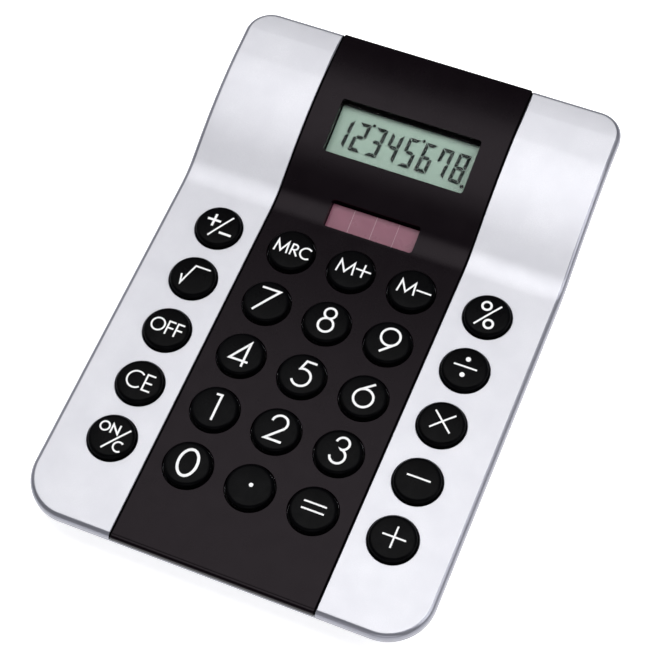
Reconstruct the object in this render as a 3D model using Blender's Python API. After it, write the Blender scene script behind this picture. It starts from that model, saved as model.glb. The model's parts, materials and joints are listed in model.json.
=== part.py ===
"""Pocket calculator with a waved face, modelled as the separate pieces it is assembled from.

Most pieces are placed in the deck frame: X to the right, Y towards the display, Z out of the
key deck, with its origin on the deck's surface at the middle key. The deck is tilted a little
in the world, so that the flat base stands level on four feet. Pieces of the base, such as the
feet and the battery door, are placed in the world frame.
"""
import math

import bmesh
import bpy

MM = 0.001
GAP = 0.3 * MM                      # clearance kept between pieces that touch
THROUGH = 2.0 * MM                  # how far a cutter passes beyond what it cuts

# Plan of the case
HALF_WIDTH = 52.5 * MM
FRONT_Y = -56.0 * MM
REAR_Y = 94.5 * MM
FRONT_CORNER = 12.0 * MM
REAR_CORNER = 7.0 * MM
FRONT_CORNER_STEPS = 6
REAR_CORNER_STEPS = 4
LEAST_CORNER = 4.0 * MM             # corners stay round where the plan is drawn inwards

# Side profile of the face: flat deck, hollow bend, ramp, round crest
BEND_START = 42.0 * MM
BEND_RADIUS = 20.0 * MM
RAMP = math.radians(22.0)
CREST_END = 92.0 * MM
CREST_RADIUS = 100.0 * MM
BEND_END = BEND_START + BEND_RADIUS * math.sin(RAMP)
BEND_HEIGHT = BEND_RADIUS * (1.0 - math.cos(RAMP))
CREST_START = CREST_END - CREST_RADIUS * math.sin(RAMP)
CREST_RISE = CREST_RADIUS * (1.0 - math.cos(RAMP))
CREST_HEIGHT = BEND_HEIGHT + (CREST_START - BEND_END) * math.tan(RAMP) + CREST_RISE
BEND_STEPS = 3
CREST_STEPS = 5
CREST_LAST = 80.0 * MM              # last line of vertices before the rear corners

# How the case stands
TILT = math.radians(3.5)
FRONT_DEPTH = 10.5 * MM             # deck surface to base at the front edge
FOOT_HEIGHT = 1.0 * MM

# Top housing
EDGE_RADIUS = 1.5 * MM
EDGE_STEPS = 3
TOP_WALL = 2.2 * MM
TOP_SIDE = 3.0 * MM                 # drop of the top housing's lower edge
TONGUE_INSET = 2.5 * MM
TONGUE_WIDTH = 1.0 * MM
TONGUE_DROP = 4.0 * MM

# Bottom housing
RIM_INSET = 0.8 * MM
RIM_TOP = TOP_SIDE + GAP
RIM_BOTTOM = 4.4 * MM
RIM_WIDTH = 1.4 * MM
UNDERCUT_INSET = 1.2 * MM
UNDERCUT_DROP = 4.8 * MM
SHOULDER_INSET = 3.4 * MM
SHOULDER_DROP = 5.1 * MM
BASE_INSET = 8.0 * MM
BASE_BEVEL = 0.8 * MM
FLOOR = 1.6 * MM

# Centre strip and its channel in the top housing
STRIP_HALF_WIDTH = 26.5 * MM
STRIP_THICKNESS = 0.8 * MM
STRIP_HOOK_DROP = 1.9 * MM          # the strip's ends wrap down over the case's edge
HOOK_STEP = 0.1 * MM
CHANNEL_DEPTH = STRIP_THICKNESS + GAP

# Keys
PITCH = 16.5 * MM
ROW_PITCH = 16.1 * MM
SIDE_COLUMN = 37.0 * MM
KEY_RADIUS = 5.9 * MM
KEY_RISE = 1.8 * MM
KEY_ROUND = 0.9 * MM
KEY_CROWN_DROP = 0.15 * MM          # the top is slightly domed
KEY_SEGMENTS = 16
KEY_HOLE = KEY_RADIUS + 0.35 * MM
KEY_RING_STEPS = 2
FLANGE_RADIUS = 7.0 * MM
FLANGE_THICKNESS = 0.6 * MM
PLUNGER_RADIUS = 2.5 * MM
PLUNGER_LENGTH = 0.7 * MM

# Layers under the keys
FLANGE_TOP = TOP_WALL + GAP
PLUNGER_END = FLANGE_TOP + FLANGE_THICKNESS + PLUNGER_LENGTH
DOME_TOP = PLUNGER_END + GAP
DOME_HEIGHT = 1.6 * MM
DOME_FOOT = 4.4 * MM
DOME_HEAD = 3.4 * MM
DOME_SEGMENTS = 10
MAT_TOP = DOME_TOP + DOME_HEIGHT
MAT_THICKNESS = 0.7 * MM
PCB_TOP = MAT_TOP + MAT_THICKNESS + GAP
PCB_THICKNESS = 1.2 * MM
MAT_HALF_WIDTH = 42.5 * MM
MAT_HALF_LENGTH = 40.5 * MM
PCB_HALF_WIDTH = 43.0 * MM
PCB_FRONT = -41.0 * MM
PCB_REAR = 57.0 * MM

# Display: a window, a lens, the liquid-crystal panel, its holder and its ribbon
DISPLAY_Y = 68.2 * MM
DISPLAY_WINDOW = (38.8 * MM, 15.2 * MM)
LENS_SIZE = (43.2 * MM, 18.0 * MM)
LENS_TOP = 2.0 * MM
LENS_THICKNESS = 0.6 * MM
PANEL_SIZE = (45.0 * MM, 19.6 * MM)
PANEL_TOP = 3.0 * MM
PANEL_THICKNESS = 1.6 * MM
HOLDER_SIZE = (51.0 * MM, 24.6 * MM)
HOLDER_TOP = 3.4 * MM
HOLDER_FLOOR_OPENING = (38.0 * MM, 13.0 * MM)
HOLDER_FLOOR = 1.0 * MM
COLLAR_WALL = 1.0 * MM
COLLAR_DROP = LENS_TOP - GAP
WINDOW_MARGIN = 0.4 * MM            # room in the top housing around the lens and the cell
WINDOW_DEPTH = 6.0 * MM
RIBBON_HALF_WIDTH = 14.0 * MM
RIBBON_THICKNESS = 0.2 * MM
RIBBON_SETBACK = 5.0 * MM           # from the display's middle forward to the ribbon's upper end
RIBBON_DROP = 7.6 * MM              # upper end below the face
RIBBON_INSET = 6.0 * MM             # lower end in from the board's rear edge
RIBBON_STEPS = 8

# Solar cell
SOLAR_Y = 46.6 * MM
SOLAR_WINDOW = (24.6 * MM, 7.6 * MM)
SOLAR_CELL = (27.2 * MM, 9.8 * MM)
SOLAR_THICKNESS = 1.1 * MM
SOLAR_LEAD_DROP = 1.2 * MM          # wire below the cell
SOLAR_LEAD_START = 11.0 * MM
SOLAR_LEAD_END = 20.0 * MM
SOLAR_LEAD_REACH = 4.0 * MM

# Screws: seat is where the head stops, measured down from the deck
BOARD_SCREW_X = 26.75 * MM
BOARD_SCREW_Y = 1.5 * ROW_PITCH
BOARD_BOSS_RADIUS = 2.2 * MM
SCREW_SEGMENTS = 12
CASE_SCREWS = (
    (25.0 * MM, -44.5 * MM, 9.3 * MM, "front"),
    (38.0 * MM, 66.0 * MM, 9.0 * MM, "rear"),
)
CASE_HEAD_RADIUS = 2.0 * MM
CASE_HEAD_HEIGHT = 1.3 * MM
CASE_SHANK_RADIUS = 1.0 * MM
CASE_SHANK_LENGTH = 5.6 * MM
CASE_POST_RADIUS = 3.2 * MM
CASE_POST_HEIGHT = 2.4 * MM         # post above the screw head's seat
CASE_BOSS_RADIUS = 2.8 * MM
BOARD_HEAD_RADIUS = 1.8 * MM
BOARD_HEAD_HEIGHT = 1.0 * MM
BOARD_SHANK_RADIUS = 0.9 * MM
BOARD_SHANK_LENGTH = 4.6 * MM
SCREW_CLEARANCE = 0.35 * MM
BOSS_ROOT = TOP_WALL * 0.75         # bosses start inside the top wall

# Feet, in the world frame
FOOT_RADIUS = 5.0 * MM
FOOT_THICKNESS = 1.7 * MM
FOOT_POCKET = 0.35 * MM
FOOT_X = 36.5 * MM
FOOT_FRONT_Y = -57.0 * MM
FOOT_REAR_Y = 60.0 * MM
FOOT_BEVEL = 0.4 * MM
FOOT_SEGMENTS = 20

# Battery compartment, in the world frame; heights are above the ground
CELL_Y = 54.0 * MM
CELL_RADIUS = 5.8 * MM
CELL_HEIGHT = 3.1 * MM
CELL_RIM = 0.4 * MM
CELL_STEP = 0.9 * MM
CELL_SEGMENTS = 20
WELL_RADIUS = 6.3 * MM
BLOCK_HALF_WIDTH = 14.0 * MM
BLOCK_FRONT_Y = 44.5 * MM
BLOCK_REAR_Y = 67.6 * MM
BLOCK_TOP = 9.0 * MM
WELL_TOP = 7.6 * MM
DOOR_HALF_WIDTH = 10.0 * MM
DOOR_TONGUE = 1.4 * MM
DOOR_FRONT_Y = 46.6 * MM
DOOR_REAR_Y = 68.2 * MM
DOOR_LOWER = 0.9 * MM
DOOR_UPPER = 0.8 * MM
RECESS_BEYOND = 8.0 * MM            # the recess stays open behind the door
CONTACT_THICKNESS = 0.3 * MM
CONTACT_HALF_WIDTH = 1.2 * MM
CONTACT_TOP = 9.6 * MM
CONTACT_MARGIN = 0.4 * MM
LEAF_FRONT = CELL_Y - 3.5 * MM
LEAF_REAR = CELL_Y + 3.0 * MM
BATTERY_LEAD_END = (34.0 * MM, 9.3 * MM)        # y and z under the board
BATTERY_LEAD_REACH = 6.0 * MM

# Small parts on the board
BLOB_RADIUS = 5.0 * MM
BLOB_HEIGHT = 1.3 * MM
CAPACITOR_RADIUS = 2.0 * MM
CAPACITOR_LENGTH = 5.0 * MM
RESISTOR_RADIUS = 0.9 * MM
RESISTOR_LENGTH = 4.2 * MM
BOARD_PARTS_Y = 50.0 * MM
CHIP_Y = 46.0 * MM
CAPACITOR_X = 22.0 * MM
RESISTOR_X = -20.0 * MM
LEAD_RADIUS = 0.45 * MM
LEAD_POINTS = 10

LEFT_KEYS = ("key_plus_minus", "key_root", "key_off", "key_ce", "key_on_c")
RIGHT_KEYS = ("key_percent", "key_divide", "key_multiply", "key_subtract", "key_add")
CENTRE_KEYS = (
    ("key_mrc", "key_m_plus", "key_m_minus"),
    ("key_7", "key_8", "key_9"),
    ("key_4", "key_5", "key_6"),
    ("key_1", "key_2", "key_3"),
    ("key_0", "key_point", "key_equals"),
)


# ---------------------------------------------------------------- shape of the face

def deck_height(y):
    """Height of the face above the key deck at a distance y along the case."""
    if y <= BEND_START:
        return 0.0
    if y <= BEND_END:
        return BEND_RADIUS - math.sqrt(BEND_RADIUS ** 2 - (y - BEND_START) ** 2)
    if y <= CREST_START:
        return BEND_HEIGHT + (y - BEND_END) * math.tan(RAMP)
    if y <= CREST_END:
        return CREST_HEIGHT - CREST_RADIUS + math.sqrt(CREST_RADIUS ** 2 - (CREST_END - y) ** 2)
    return CREST_HEIGHT


def deck_slope(y):
    """Angle of the face against the key deck."""
    if y <= BEND_END:
        return math.asin(max(0.0, y - BEND_START) / BEND_RADIUS)
    if y <= CREST_START:
        return RAMP
    return math.asin(max(0.0, CREST_END - y) / CREST_RADIUS)


def base_height(y):
    """Height of the flat base in the deck frame; the base is level in the world."""
    return -FRONT_DEPTH - (y - FRONT_Y) * math.tan(TILT)


def spaced(start, end, steps):
    """Values from start to end in equal steps, both included."""
    return [start + (end - start) * i / steps for i in range(steps + 1)]


def wave_stations():
    """Distances along the case at which the face needs a line of vertices."""
    bend = spaced(BEND_START, BEND_END, BEND_STEPS)
    crest = spaced(CREST_START, CREST_LAST, CREST_STEPS)
    return bend + crest


def half_outline(inset):
    """Right half of the case's plan, front to rear, moved inwards by inset."""
    points = []
    side = HALF_WIDTH - inset
    front_radius = max(FRONT_CORNER - inset, LEAST_CORNER)
    rear_radius = max(REAR_CORNER - inset, LEAST_CORNER)
    for angle in spaced(-math.pi / 2.0, 0.0, FRONT_CORNER_STEPS):
        x = side - front_radius + front_radius * math.cos(angle)
        y = FRONT_Y + inset + front_radius + front_radius * math.sin(angle)
        points.append((x, y))
    for y in wave_stations():
        points.append((side, y))
    for angle in spaced(0.0, math.pi / 2.0, REAR_CORNER_STEPS):
        x = side - rear_radius + rear_radius * math.cos(angle)
        y = REAR_Y - inset - rear_radius + rear_radius * math.sin(angle)
        points.append((x, y))
    return points


def face_ring(inset, drop):
    """Plan ring that follows the waved face at a constant drop below it."""
    return [(x, y, deck_height(y) - drop) for x, y in half_outline(inset)]


def base_ring(inset, rise):
    """Plan ring parallel to the flat base, at a constant rise above it."""
    return [(x, y, base_height(y) + rise) for x, y in half_outline(inset)]


def edge_rings(steps):
    """Rings of the rounded upper edge, from the flat face to the vertical side."""
    rings = []
    for angle in spaced(0.0, math.pi / 2.0, steps):
        inset = EDGE_RADIUS * (1.0 - math.sin(angle))
        drop = EDGE_RADIUS * (1.0 - math.cos(angle))
        rings.append(face_ring(inset, drop))
    return rings


# ---------------------------------------------------------------- mesh helpers

def new_object(name, bm, parent=None, location=(0.0, 0.0, 0.0), smooth=True):
    """Turn a bmesh into an object with outward faces, placed under a parent."""
    bmesh.ops.recalc_face_normals(bm, faces=bm.faces)
    mesh = bpy.data.meshes.new(name)
    bm.to_mesh(mesh)
    bm.free()
    if smooth:
        mesh.shade_smooth()
        mesh.set_sharp_from_angle(angle=math.radians(35.0))
    obj = bpy.data.objects.new(name, mesh)
    bpy.context.scene.collection.objects.link(obj)
    obj.parent = parent
    obj.location = location
    return obj


def ringed_solid(bm, half_rings):
    """Closed solid through a list of plan rings, its two ends closed by strips across."""
    loops = []
    for ring in half_rings:
        right = [bm.verts.new(point) for point in ring]
        left = [bm.verts.new((-x, y, z)) for x, y, z in ring]
        loops.append((right, left))
    count = len(half_rings[0])
    for (right_a, left_a), (right_b, left_b) in zip(loops[:-1], loops[1:]):
        around_a = right_a + left_a[::-1]
        around_b = right_b + left_b[::-1]
        total = len(around_a)
        for i in range(total):
            j = (i + 1) % total
            bm.faces.new((around_a[i], around_a[j], around_b[j], around_b[i]))
    for right, left in (loops[0], loops[-1]):
        for i in range(count - 1):
            bm.faces.new((right[i], right[i + 1], left[i + 1], left[i]))


def add_slab(bm, stations, half_width, centre_x=0.0):
    """Solid of constant width whose section is a list of (y, low, high) stations."""
    columns = []
    for y, low, high in stations:
        corners = []
        for side, z in ((-1, low), (1, low), (1, high), (-1, high)):
            corners.append(bm.verts.new((centre_x + side * half_width, y, z)))
        columns.append(corners)
    for a, b in zip(columns[:-1], columns[1:]):
        for i in range(4):
            j = (i + 1) % 4
            bm.faces.new((a[i], a[j], b[j], b[i]))
    bm.faces.new(columns[0])
    bm.faces.new(columns[-1])


def add_box(bm, low, high):
    """Box between two corners."""
    half_width = (high[0] - low[0]) / 2.0
    centre_x = (high[0] + low[0]) / 2.0
    add_slab(bm, [(low[1], low[2], high[2]), (high[1], low[2], high[2])], half_width, centre_x)


def add_turned(bm, profile, segments, centre=(0.0, 0.0)):
    """Solid of revolution about a vertical axis; the profile starts and ends on the axis."""
    rings = []
    for radius, z in profile:
        if radius == 0.0:
            rings.append([bm.verts.new((centre[0], centre[1], z))])
            continue
        ring = []
        for i in range(segments):
            angle = 2.0 * math.pi * i / segments
            x = centre[0] + radius * math.cos(angle)
            y = centre[1] + radius * math.sin(angle)
            ring.append(bm.verts.new((x, y, z)))
        rings.append(ring)
    for upper, lower in zip(rings[:-1], rings[1:]):
        for i in range(segments):
            j = (i + 1) % segments
            if len(upper) == 1:
                bm.faces.new((upper[0], lower[i], lower[j]))
            elif len(lower) == 1:
                bm.faces.new((upper[i], lower[0], upper[j]))
            else:
                bm.faces.new((upper[i], lower[i], lower[j], upper[j]))


def add_cylinder(bm, centre, radius, low, high, segments):
    """Upright cylinder with flat ends."""
    ends = []
    for z in (low, high):
        ring = []
        for i in range(segments):
            angle = 2.0 * math.pi * i / segments
            x = centre[0] + radius * math.cos(angle)
            y = centre[1] + radius * math.sin(angle)
            ring.append(bm.verts.new((x, y, z)))
        ends.append(ring)
    for i in range(segments):
        j = (i + 1) % segments
        bm.faces.new((ends[0][i], ends[0][j], ends[1][j], ends[1][i]))
    bm.faces.new(ends[0])
    bm.faces.new(ends[1])


def combine(target, operand, operation):
    """Add a Boolean modifier; the operand becomes a hidden helper object."""
    modifier = target.modifiers.new(operand.name, "BOOLEAN")
    modifier.object = operand
    modifier.operation = operation
    modifier.solver = "EXACT"
    operand.hide_render = True
    operand.display_type = "WIRE"


def cut(target, cutter):
    combine(target, cutter, "DIFFERENCE")


def add_material_to(target, addition):
    combine(target, addition, "UNION")


def tilted_empty(name, parent, y, depth=0.0):
    """Empty on the face at y, turned to the face's local slope."""
    empty = bpy.data.objects.new(name, None)
    bpy.context.scene.collection.objects.link(empty)
    empty.parent = parent
    empty.location = (0.0, y, deck_height(y) - depth)
    empty.rotation_euler = (deck_slope(y), 0.0, 0.0)
    return empty


# ---------------------------------------------------------------- materials

def paint(objects, name, colour, roughness, metallic=0.0, alpha=1.0):
    """Give every listed object one Principled material."""
    material = bpy.data.materials.new(name)
    material.use_nodes = True
    shader = material.node_tree.nodes["Principled BSDF"]
    shader.inputs["Base Color"].default_value = (*colour, 1.0)
    shader.inputs["Roughness"].default_value = roughness
    shader.inputs["Metallic"].default_value = metallic
    shader.inputs["Alpha"].default_value = alpha
    material.diffuse_color = (*colour, alpha)
    for obj in objects:
        obj.data.materials.append(material)


# ---------------------------------------------------------------- keys

def key_places():
    """Name and deck position of every key."""
    places = []
    for row, names in enumerate(CENTRE_KEYS):
        y = (2 - row) * ROW_PITCH
        for column, name in enumerate(names):
            places.append((name, (column - 1) * PITCH, y))
    for x, names in ((-SIDE_COLUMN, LEFT_KEYS), (SIDE_COLUMN, RIGHT_KEYS)):
        for row, name in enumerate(names):
            places.append((name, x, (2 - row) * ROW_PITCH))
    return places


def key_profile():
    """Outline of a key from its crown down to the end of its plunger."""
    profile = [(0.0, KEY_RISE)]
    shoulder = KEY_RADIUS - KEY_ROUND
    for angle in spaced(0.0, math.pi / 2.0, KEY_RING_STEPS):
        radius = shoulder + KEY_ROUND * math.sin(angle)
        z = KEY_RISE - KEY_CROWN_DROP - KEY_ROUND * (1.0 - math.cos(angle))
        profile.append((radius, z))
    flange_bottom = -FLANGE_TOP - FLANGE_THICKNESS
    profile.append((KEY_RADIUS, -FLANGE_TOP))
    profile.append((FLANGE_RADIUS, -FLANGE_TOP))
    profile.append((FLANGE_RADIUS, flange_bottom))
    profile.append((PLUNGER_RADIUS, flange_bottom))
    profile.append((PLUNGER_RADIUS, -PLUNGER_END))
    profile.append((0.0, -PLUNGER_END))
    return profile


def make_keys(deck):
    keys = []
    for name, x, y in key_places():
        bm = bmesh.new()
        add_turned(bm, key_profile(), KEY_SEGMENTS)
        keys.append(new_object(name, bm, deck, (x, y, 0.0)))
    return keys


def key_hole_cutter(name, deck, places):
    bm = bmesh.new()
    for _, x, y in places:
        add_cylinder(bm, (x, y), KEY_HOLE, -TOP_WALL - THROUGH, THROUGH, KEY_SEGMENTS)
    return new_object(name, bm, deck)


# ---------------------------------------------------------------- case

def window_cutter(name, frame, size, margin, low, high):
    """Rectangular cutter centred on a tilted frame."""
    bm = bmesh.new()
    half_x = size[0] / 2.0 + margin
    half_y = size[1] / 2.0 + margin
    add_box(bm, (-half_x, -half_y, low), (half_x, half_y, high))
    return new_object(name, bm, frame)


def channel_cutter(deck):
    """Space for the strip: a shallow channel that steps down at the case's front and rear."""
    step = STRIP_THICKNESS + GAP
    end_drop = STRIP_HOOK_DROP + GAP
    stations = []

    def station(y, drop):
        stations.append((y, deck_height(y) - drop, deck_height(y) + THROUGH))

    station(FRONT_Y - THROUGH, end_drop)
    station(FRONT_Y + step, end_drop)
    station(FRONT_Y + step + HOOK_STEP, CHANNEL_DEPTH)
    for y in wave_stations():
        station(y, CHANNEL_DEPTH)
    station(REAR_Y - step - HOOK_STEP, CHANNEL_DEPTH)
    station(REAR_Y - step, end_drop)
    station(REAR_Y + THROUGH, end_drop)
    bm = bmesh.new()
    add_slab(bm, stations, STRIP_HALF_WIDTH + GAP)
    return new_object("channel_cutter", bm, deck)


def top_bosses(deck):
    """Screw bosses that hang from the top housing."""
    bm = bmesh.new()
    for side in (-1, 1):
        for x, y, seat, _ in CASE_SCREWS:
            low = -seat + CASE_POST_HEIGHT + GAP
            high = deck_height(y) - BOSS_ROOT
            add_cylinder(bm, (side * x, y), CASE_BOSS_RADIUS, low, high, SCREW_SEGMENTS)
        for y in (-BOARD_SCREW_Y, BOARD_SCREW_Y):
            centre = (side * BOARD_SCREW_X, y)
            add_cylinder(bm, centre, BOARD_BOSS_RADIUS, -PCB_TOP + GAP, -BOSS_ROOT, SCREW_SEGMENTS)
    return new_object("top_bosses", bm, deck)


def top_pilot_holes(deck):
    """Pilot holes in the top housing's bosses."""
    bm = bmesh.new()
    for side in (-1, 1):
        for x, y, seat, _ in CASE_SCREWS:
            low = -seat + CASE_POST_HEIGHT - THROUGH
            high = -seat + CASE_SHANK_LENGTH + GAP
            radius = CASE_SHANK_RADIUS + SCREW_CLEARANCE
            add_cylinder(bm, (side * x, y), radius, low, high, SCREW_SEGMENTS)
        for y in (-BOARD_SCREW_Y, BOARD_SCREW_Y):
            centre = (side * BOARD_SCREW_X, y)
            radius = BOARD_SHANK_RADIUS + SCREW_CLEARANCE
            high = -PCB_TOP - PCB_THICKNESS + BOARD_SHANK_LENGTH + GAP
            add_cylinder(bm, centre, radius, -PCB_TOP - THROUGH, high, SCREW_SEGMENTS)
    return new_object("top_pilot_holes", bm, deck)


def make_top_housing(deck, display, solar):
    tongue_inner = TONGUE_INSET + TONGUE_WIDTH
    rings = edge_rings(EDGE_STEPS)
    rings.append(face_ring(0.0, TOP_SIDE))
    rings.append(face_ring(TONGUE_INSET, TOP_SIDE))
    rings.append(face_ring(TONGUE_INSET, TONGUE_DROP))
    rings.append(face_ring(tongue_inner, TONGUE_DROP))
    rings.append(face_ring(tongue_inner, TOP_WALL))
    bm = bmesh.new()
    ringed_solid(bm, rings)
    housing = new_object("top_housing", bm, deck)
    add_material_to(housing, top_bosses(deck))
    cut(housing, channel_cutter(deck))
    cut(housing, key_hole_cutter("housing_key_holes", deck, key_places()))
    cut(housing, top_pilot_holes(deck))
    reach = WINDOW_DEPTH
    cut(housing, window_cutter("housing_display_hole", display, LENS_SIZE, WINDOW_MARGIN, -reach, reach))
    cut(housing, window_cutter("housing_solar_hole", solar, SOLAR_CELL, WINDOW_MARGIN, -reach, reach))
    return housing


def edge_drop(inset):
    """Drop of the rounded edge at a distance in from the side."""
    return EDGE_RADIUS - math.sqrt(EDGE_RADIUS ** 2 - (EDGE_RADIUS - inset) ** 2)


def strip_end():
    """Hooked end of the strip, from the edge inwards, as (inset, lower drop, upper drop)."""
    angles = spaced(math.pi / 2.0, 0.0, EDGE_STEPS)
    insets = [EDGE_RADIUS * (1.0 - math.sin(angle)) for angle in angles]
    insets += [STRIP_THICKNESS, STRIP_THICKNESS + HOOK_STEP]
    section = []
    for inset in sorted(insets):
        low = STRIP_HOOK_DROP if inset <= STRIP_THICKNESS else STRIP_THICKNESS
        section.append((inset, low, edge_drop(inset)))
    return section


def make_fascia_strip(deck, display, solar):
    front = [(FRONT_Y + inset, -low, -drop) for inset, low, drop in strip_end()]
    rear = []
    for inset, low, drop in reversed(strip_end()):
        rear.append((REAR_Y - inset, CREST_HEIGHT - low, CREST_HEIGHT - drop))
    middle = []
    for y in wave_stations():
        middle.append((y, deck_height(y) - STRIP_THICKNESS, deck_height(y)))
    bm = bmesh.new()
    add_slab(bm, front + middle + rear, STRIP_HALF_WIDTH)
    strip = new_object("fascia_strip", bm, deck)
    collar_top = -STRIP_THICKNESS * 0.5
    add_material_to(strip, window_cutter(
        "display_collar", display, DISPLAY_WINDOW, COLLAR_WALL, -COLLAR_DROP, collar_top))
    add_material_to(strip, window_cutter(
        "solar_collar", solar, SOLAR_WINDOW, COLLAR_WALL, -COLLAR_DROP, collar_top))
    centre_places = [place for place in key_places() if abs(place[1]) < SIDE_COLUMN]
    cut(strip, key_hole_cutter("strip_key_holes", deck, centre_places))
    reach = COLLAR_DROP + THROUGH
    cut(strip, window_cutter("display_window", display, DISPLAY_WINDOW, 0.0, -reach, reach))
    cut(strip, window_cutter("solar_window", solar, SOLAR_WINDOW, 0.0, -reach, reach))
    return strip


def bottom_posts(deck):
    """Posts around the case screws, standing on the bottom housing's floor."""
    bm = bmesh.new()
    for side in (-1, 1):
        for x, y, seat, _ in CASE_SCREWS:
            low = base_height(y) + FLOOR * 0.5
            high = -seat + CASE_POST_HEIGHT
            add_cylinder(bm, (side * x, y), CASE_POST_RADIUS, low, high, SCREW_SEGMENTS)
    return new_object("bottom_posts", bm, deck)


def bottom_screw_holes(deck):
    """Counterbores from below, up to each head's seat, and the clearance holes above them."""
    bm = bmesh.new()
    for side in (-1, 1):
        for x, y, seat, _ in CASE_SCREWS:
            centre = (side * x, y)
            low = base_height(y) - THROUGH
            hole = CASE_SHANK_RADIUS + SCREW_CLEARANCE
            bore = CASE_HEAD_RADIUS + SCREW_CLEARANCE
            high = -seat + CASE_POST_HEIGHT + THROUGH
            profile = [(0.0, low), (bore, low), (bore, -seat)]
            profile += [(hole, -seat), (hole, high), (0.0, high)]
            add_turned(bm, profile, SCREW_SEGMENTS, centre)
    return new_object("bottom_screw_holes", bm, deck)


def battery_block():
    """Thick part of the floor that holds the battery compartment."""
    bm = bmesh.new()
    low = (-BLOCK_HALF_WIDTH, BLOCK_FRONT_Y, FOOT_HEIGHT + FLOOR * 0.5)
    high = (BLOCK_HALF_WIDTH, BLOCK_REAR_Y, BLOCK_TOP)
    add_box(bm, low, high)
    return new_object("battery_block", bm)


def door_levels():
    """Heights of the door: underside, step to the tongues, and top."""
    step = FOOT_HEIGHT + DOOR_LOWER
    return FOOT_HEIGHT, step, step + DOOR_UPPER


def door_recess():
    """Recess for the sliding door, open to the rear, with a groove for each tongue."""
    _, step, top = door_levels()
    front = DOOR_FRONT_Y - GAP
    rear = DOOR_REAR_Y + RECESS_BEYOND
    wide = DOOR_HALF_WIDTH + DOOR_TONGUE + GAP
    narrow = DOOR_HALF_WIDTH + GAP
    bm = bmesh.new()
    add_box(bm, (-narrow, front, FOOT_HEIGHT - THROUGH), (narrow, rear, step))
    slot = bmesh.new()
    add_box(slot, (-wide, front, step - GAP), (wide, rear, top + GAP))
    return new_object("door_recess", bm), new_object("door_groove", slot)


def battery_well():
    """Round well above the door for the button cell."""
    bm = bmesh.new()
    _, _, top = door_levels()
    add_cylinder(bm, (0.0, CELL_Y), WELL_RADIUS, top, WELL_TOP, CELL_SEGMENTS)
    return new_object("battery_well", bm)


def contact_slots():
    """Slots that let the two contacts up out of the well."""
    bm = bmesh.new()
    margin = CONTACT_MARGIN
    half = CONTACT_HALF_WIDTH + margin
    side = CELL_RADIUS + GAP
    high = BLOCK_TOP + THROUGH
    _, _, top = door_levels()
    low = (side - margin, CELL_Y - half, top)
    add_box(bm, low, (side + CONTACT_THICKNESS + margin, CELL_Y + half, high))
    below = WELL_TOP - THROUGH * 0.5
    add_box(bm, (-half, LEAF_FRONT - margin, below), (half, LEAF_FRONT + 2.0 * margin, high))
    return new_object("contact_slots", bm)


def foot_places():
    return [
        (f"foot_{row}_{side_name}", side * FOOT_X, y)
        for row, y in (("front", FOOT_FRONT_Y), ("rear", FOOT_REAR_Y))
        for side_name, side in (("left", -1), ("right", 1))
    ]


def foot_pockets():
    bm = bmesh.new()
    radius = FOOT_RADIUS + FOOT_POCKET
    for _, x, y in foot_places():
        add_cylinder(bm, (x, y), radius, -THROUGH, FOOT_THICKNESS + GAP, FOOT_SEGMENTS)
    return new_object("foot_pockets", bm)


def make_bottom_housing(deck):
    rim_inner = RIM_INSET + RIM_WIDTH
    rings = [
        base_ring(BASE_INSET, 0.0),
        base_ring(BASE_INSET - BASE_BEVEL, BASE_BEVEL),
        face_ring(UNDERCUT_INSET, UNDERCUT_DROP),
        face_ring(RIM_INSET, RIM_BOTTOM),
        face_ring(RIM_INSET, RIM_TOP),
        face_ring(rim_inner, RIM_TOP),
        face_ring(rim_inner, RIM_BOTTOM),
        face_ring(SHOULDER_INSET, SHOULDER_DROP),
        base_ring(BASE_INSET + BASE_BEVEL, FLOOR),
    ]
    bm = bmesh.new()
    ringed_solid(bm, rings)
    housing = new_object("bottom_housing", bm, deck)
    add_material_to(housing, bottom_posts(deck))
    add_material_to(housing, battery_block())
    cut(housing, bottom_screw_holes(deck))
    for cutter in door_recess():
        cut(housing, cutter)
    cut(housing, battery_well())
    cut(housing, contact_slots())
    cut(housing, foot_pockets())
    return housing


def make_battery_door():
    """Door plate with a tongue along each side, sliding rearwards along world Y."""
    low, step, top = door_levels()
    wide = DOOR_HALF_WIDTH + DOOR_TONGUE
    section = [
        (-DOOR_HALF_WIDTH, low), (DOOR_HALF_WIDTH, low), (DOOR_HALF_WIDTH, step),
        (wide, step), (wide, top), (-wide, top), (-wide, step), (-DOOR_HALF_WIDTH, step),
    ]
    bm = bmesh.new()
    ends = []
    for y in (0.0, DOOR_REAR_Y - DOOR_FRONT_Y):
        ends.append([bm.verts.new((x, y, z)) for x, z in section])
    count = len(section)
    for i in range(count):
        j = (i + 1) % count
        bm.faces.new((ends[0][i], ends[0][j], ends[1][j], ends[1][i]))
    bm.faces.new(ends[0])
    bm.faces.new(ends[1])
    return new_object("battery_door", bm, None, (0.0, DOOR_FRONT_Y, 0.0))


# ---------------------------------------------------------------- inside

def make_key_mat(deck):
    """Rubber mat with a dome under every key and holes for the board's bosses."""
    bm = bmesh.new()
    low = (-MAT_HALF_WIDTH, -MAT_HALF_LENGTH, -MAT_TOP - MAT_THICKNESS)
    add_box(bm, low, (MAT_HALF_WIDTH, MAT_HALF_LENGTH, -MAT_TOP))
    mat = new_object("key_mat", bm, deck)
    root = -MAT_TOP - MAT_THICKNESS * 0.5
    dome = [(0.0, -DOME_TOP), (DOME_HEAD, -DOME_TOP)]
    dome += [(DOME_FOOT, -MAT_TOP), (DOME_FOOT, root), (0.0, root)]
    domes = bmesh.new()
    for _, x, y in key_places():
        add_turned(domes, dome, DOME_SEGMENTS, (x, y))
    add_material_to(mat, new_object("mat_domes", domes, deck))
    cut(mat, board_holes("mat_holes", deck, BOARD_BOSS_RADIUS + SCREW_CLEARANCE))
    return mat


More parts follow.
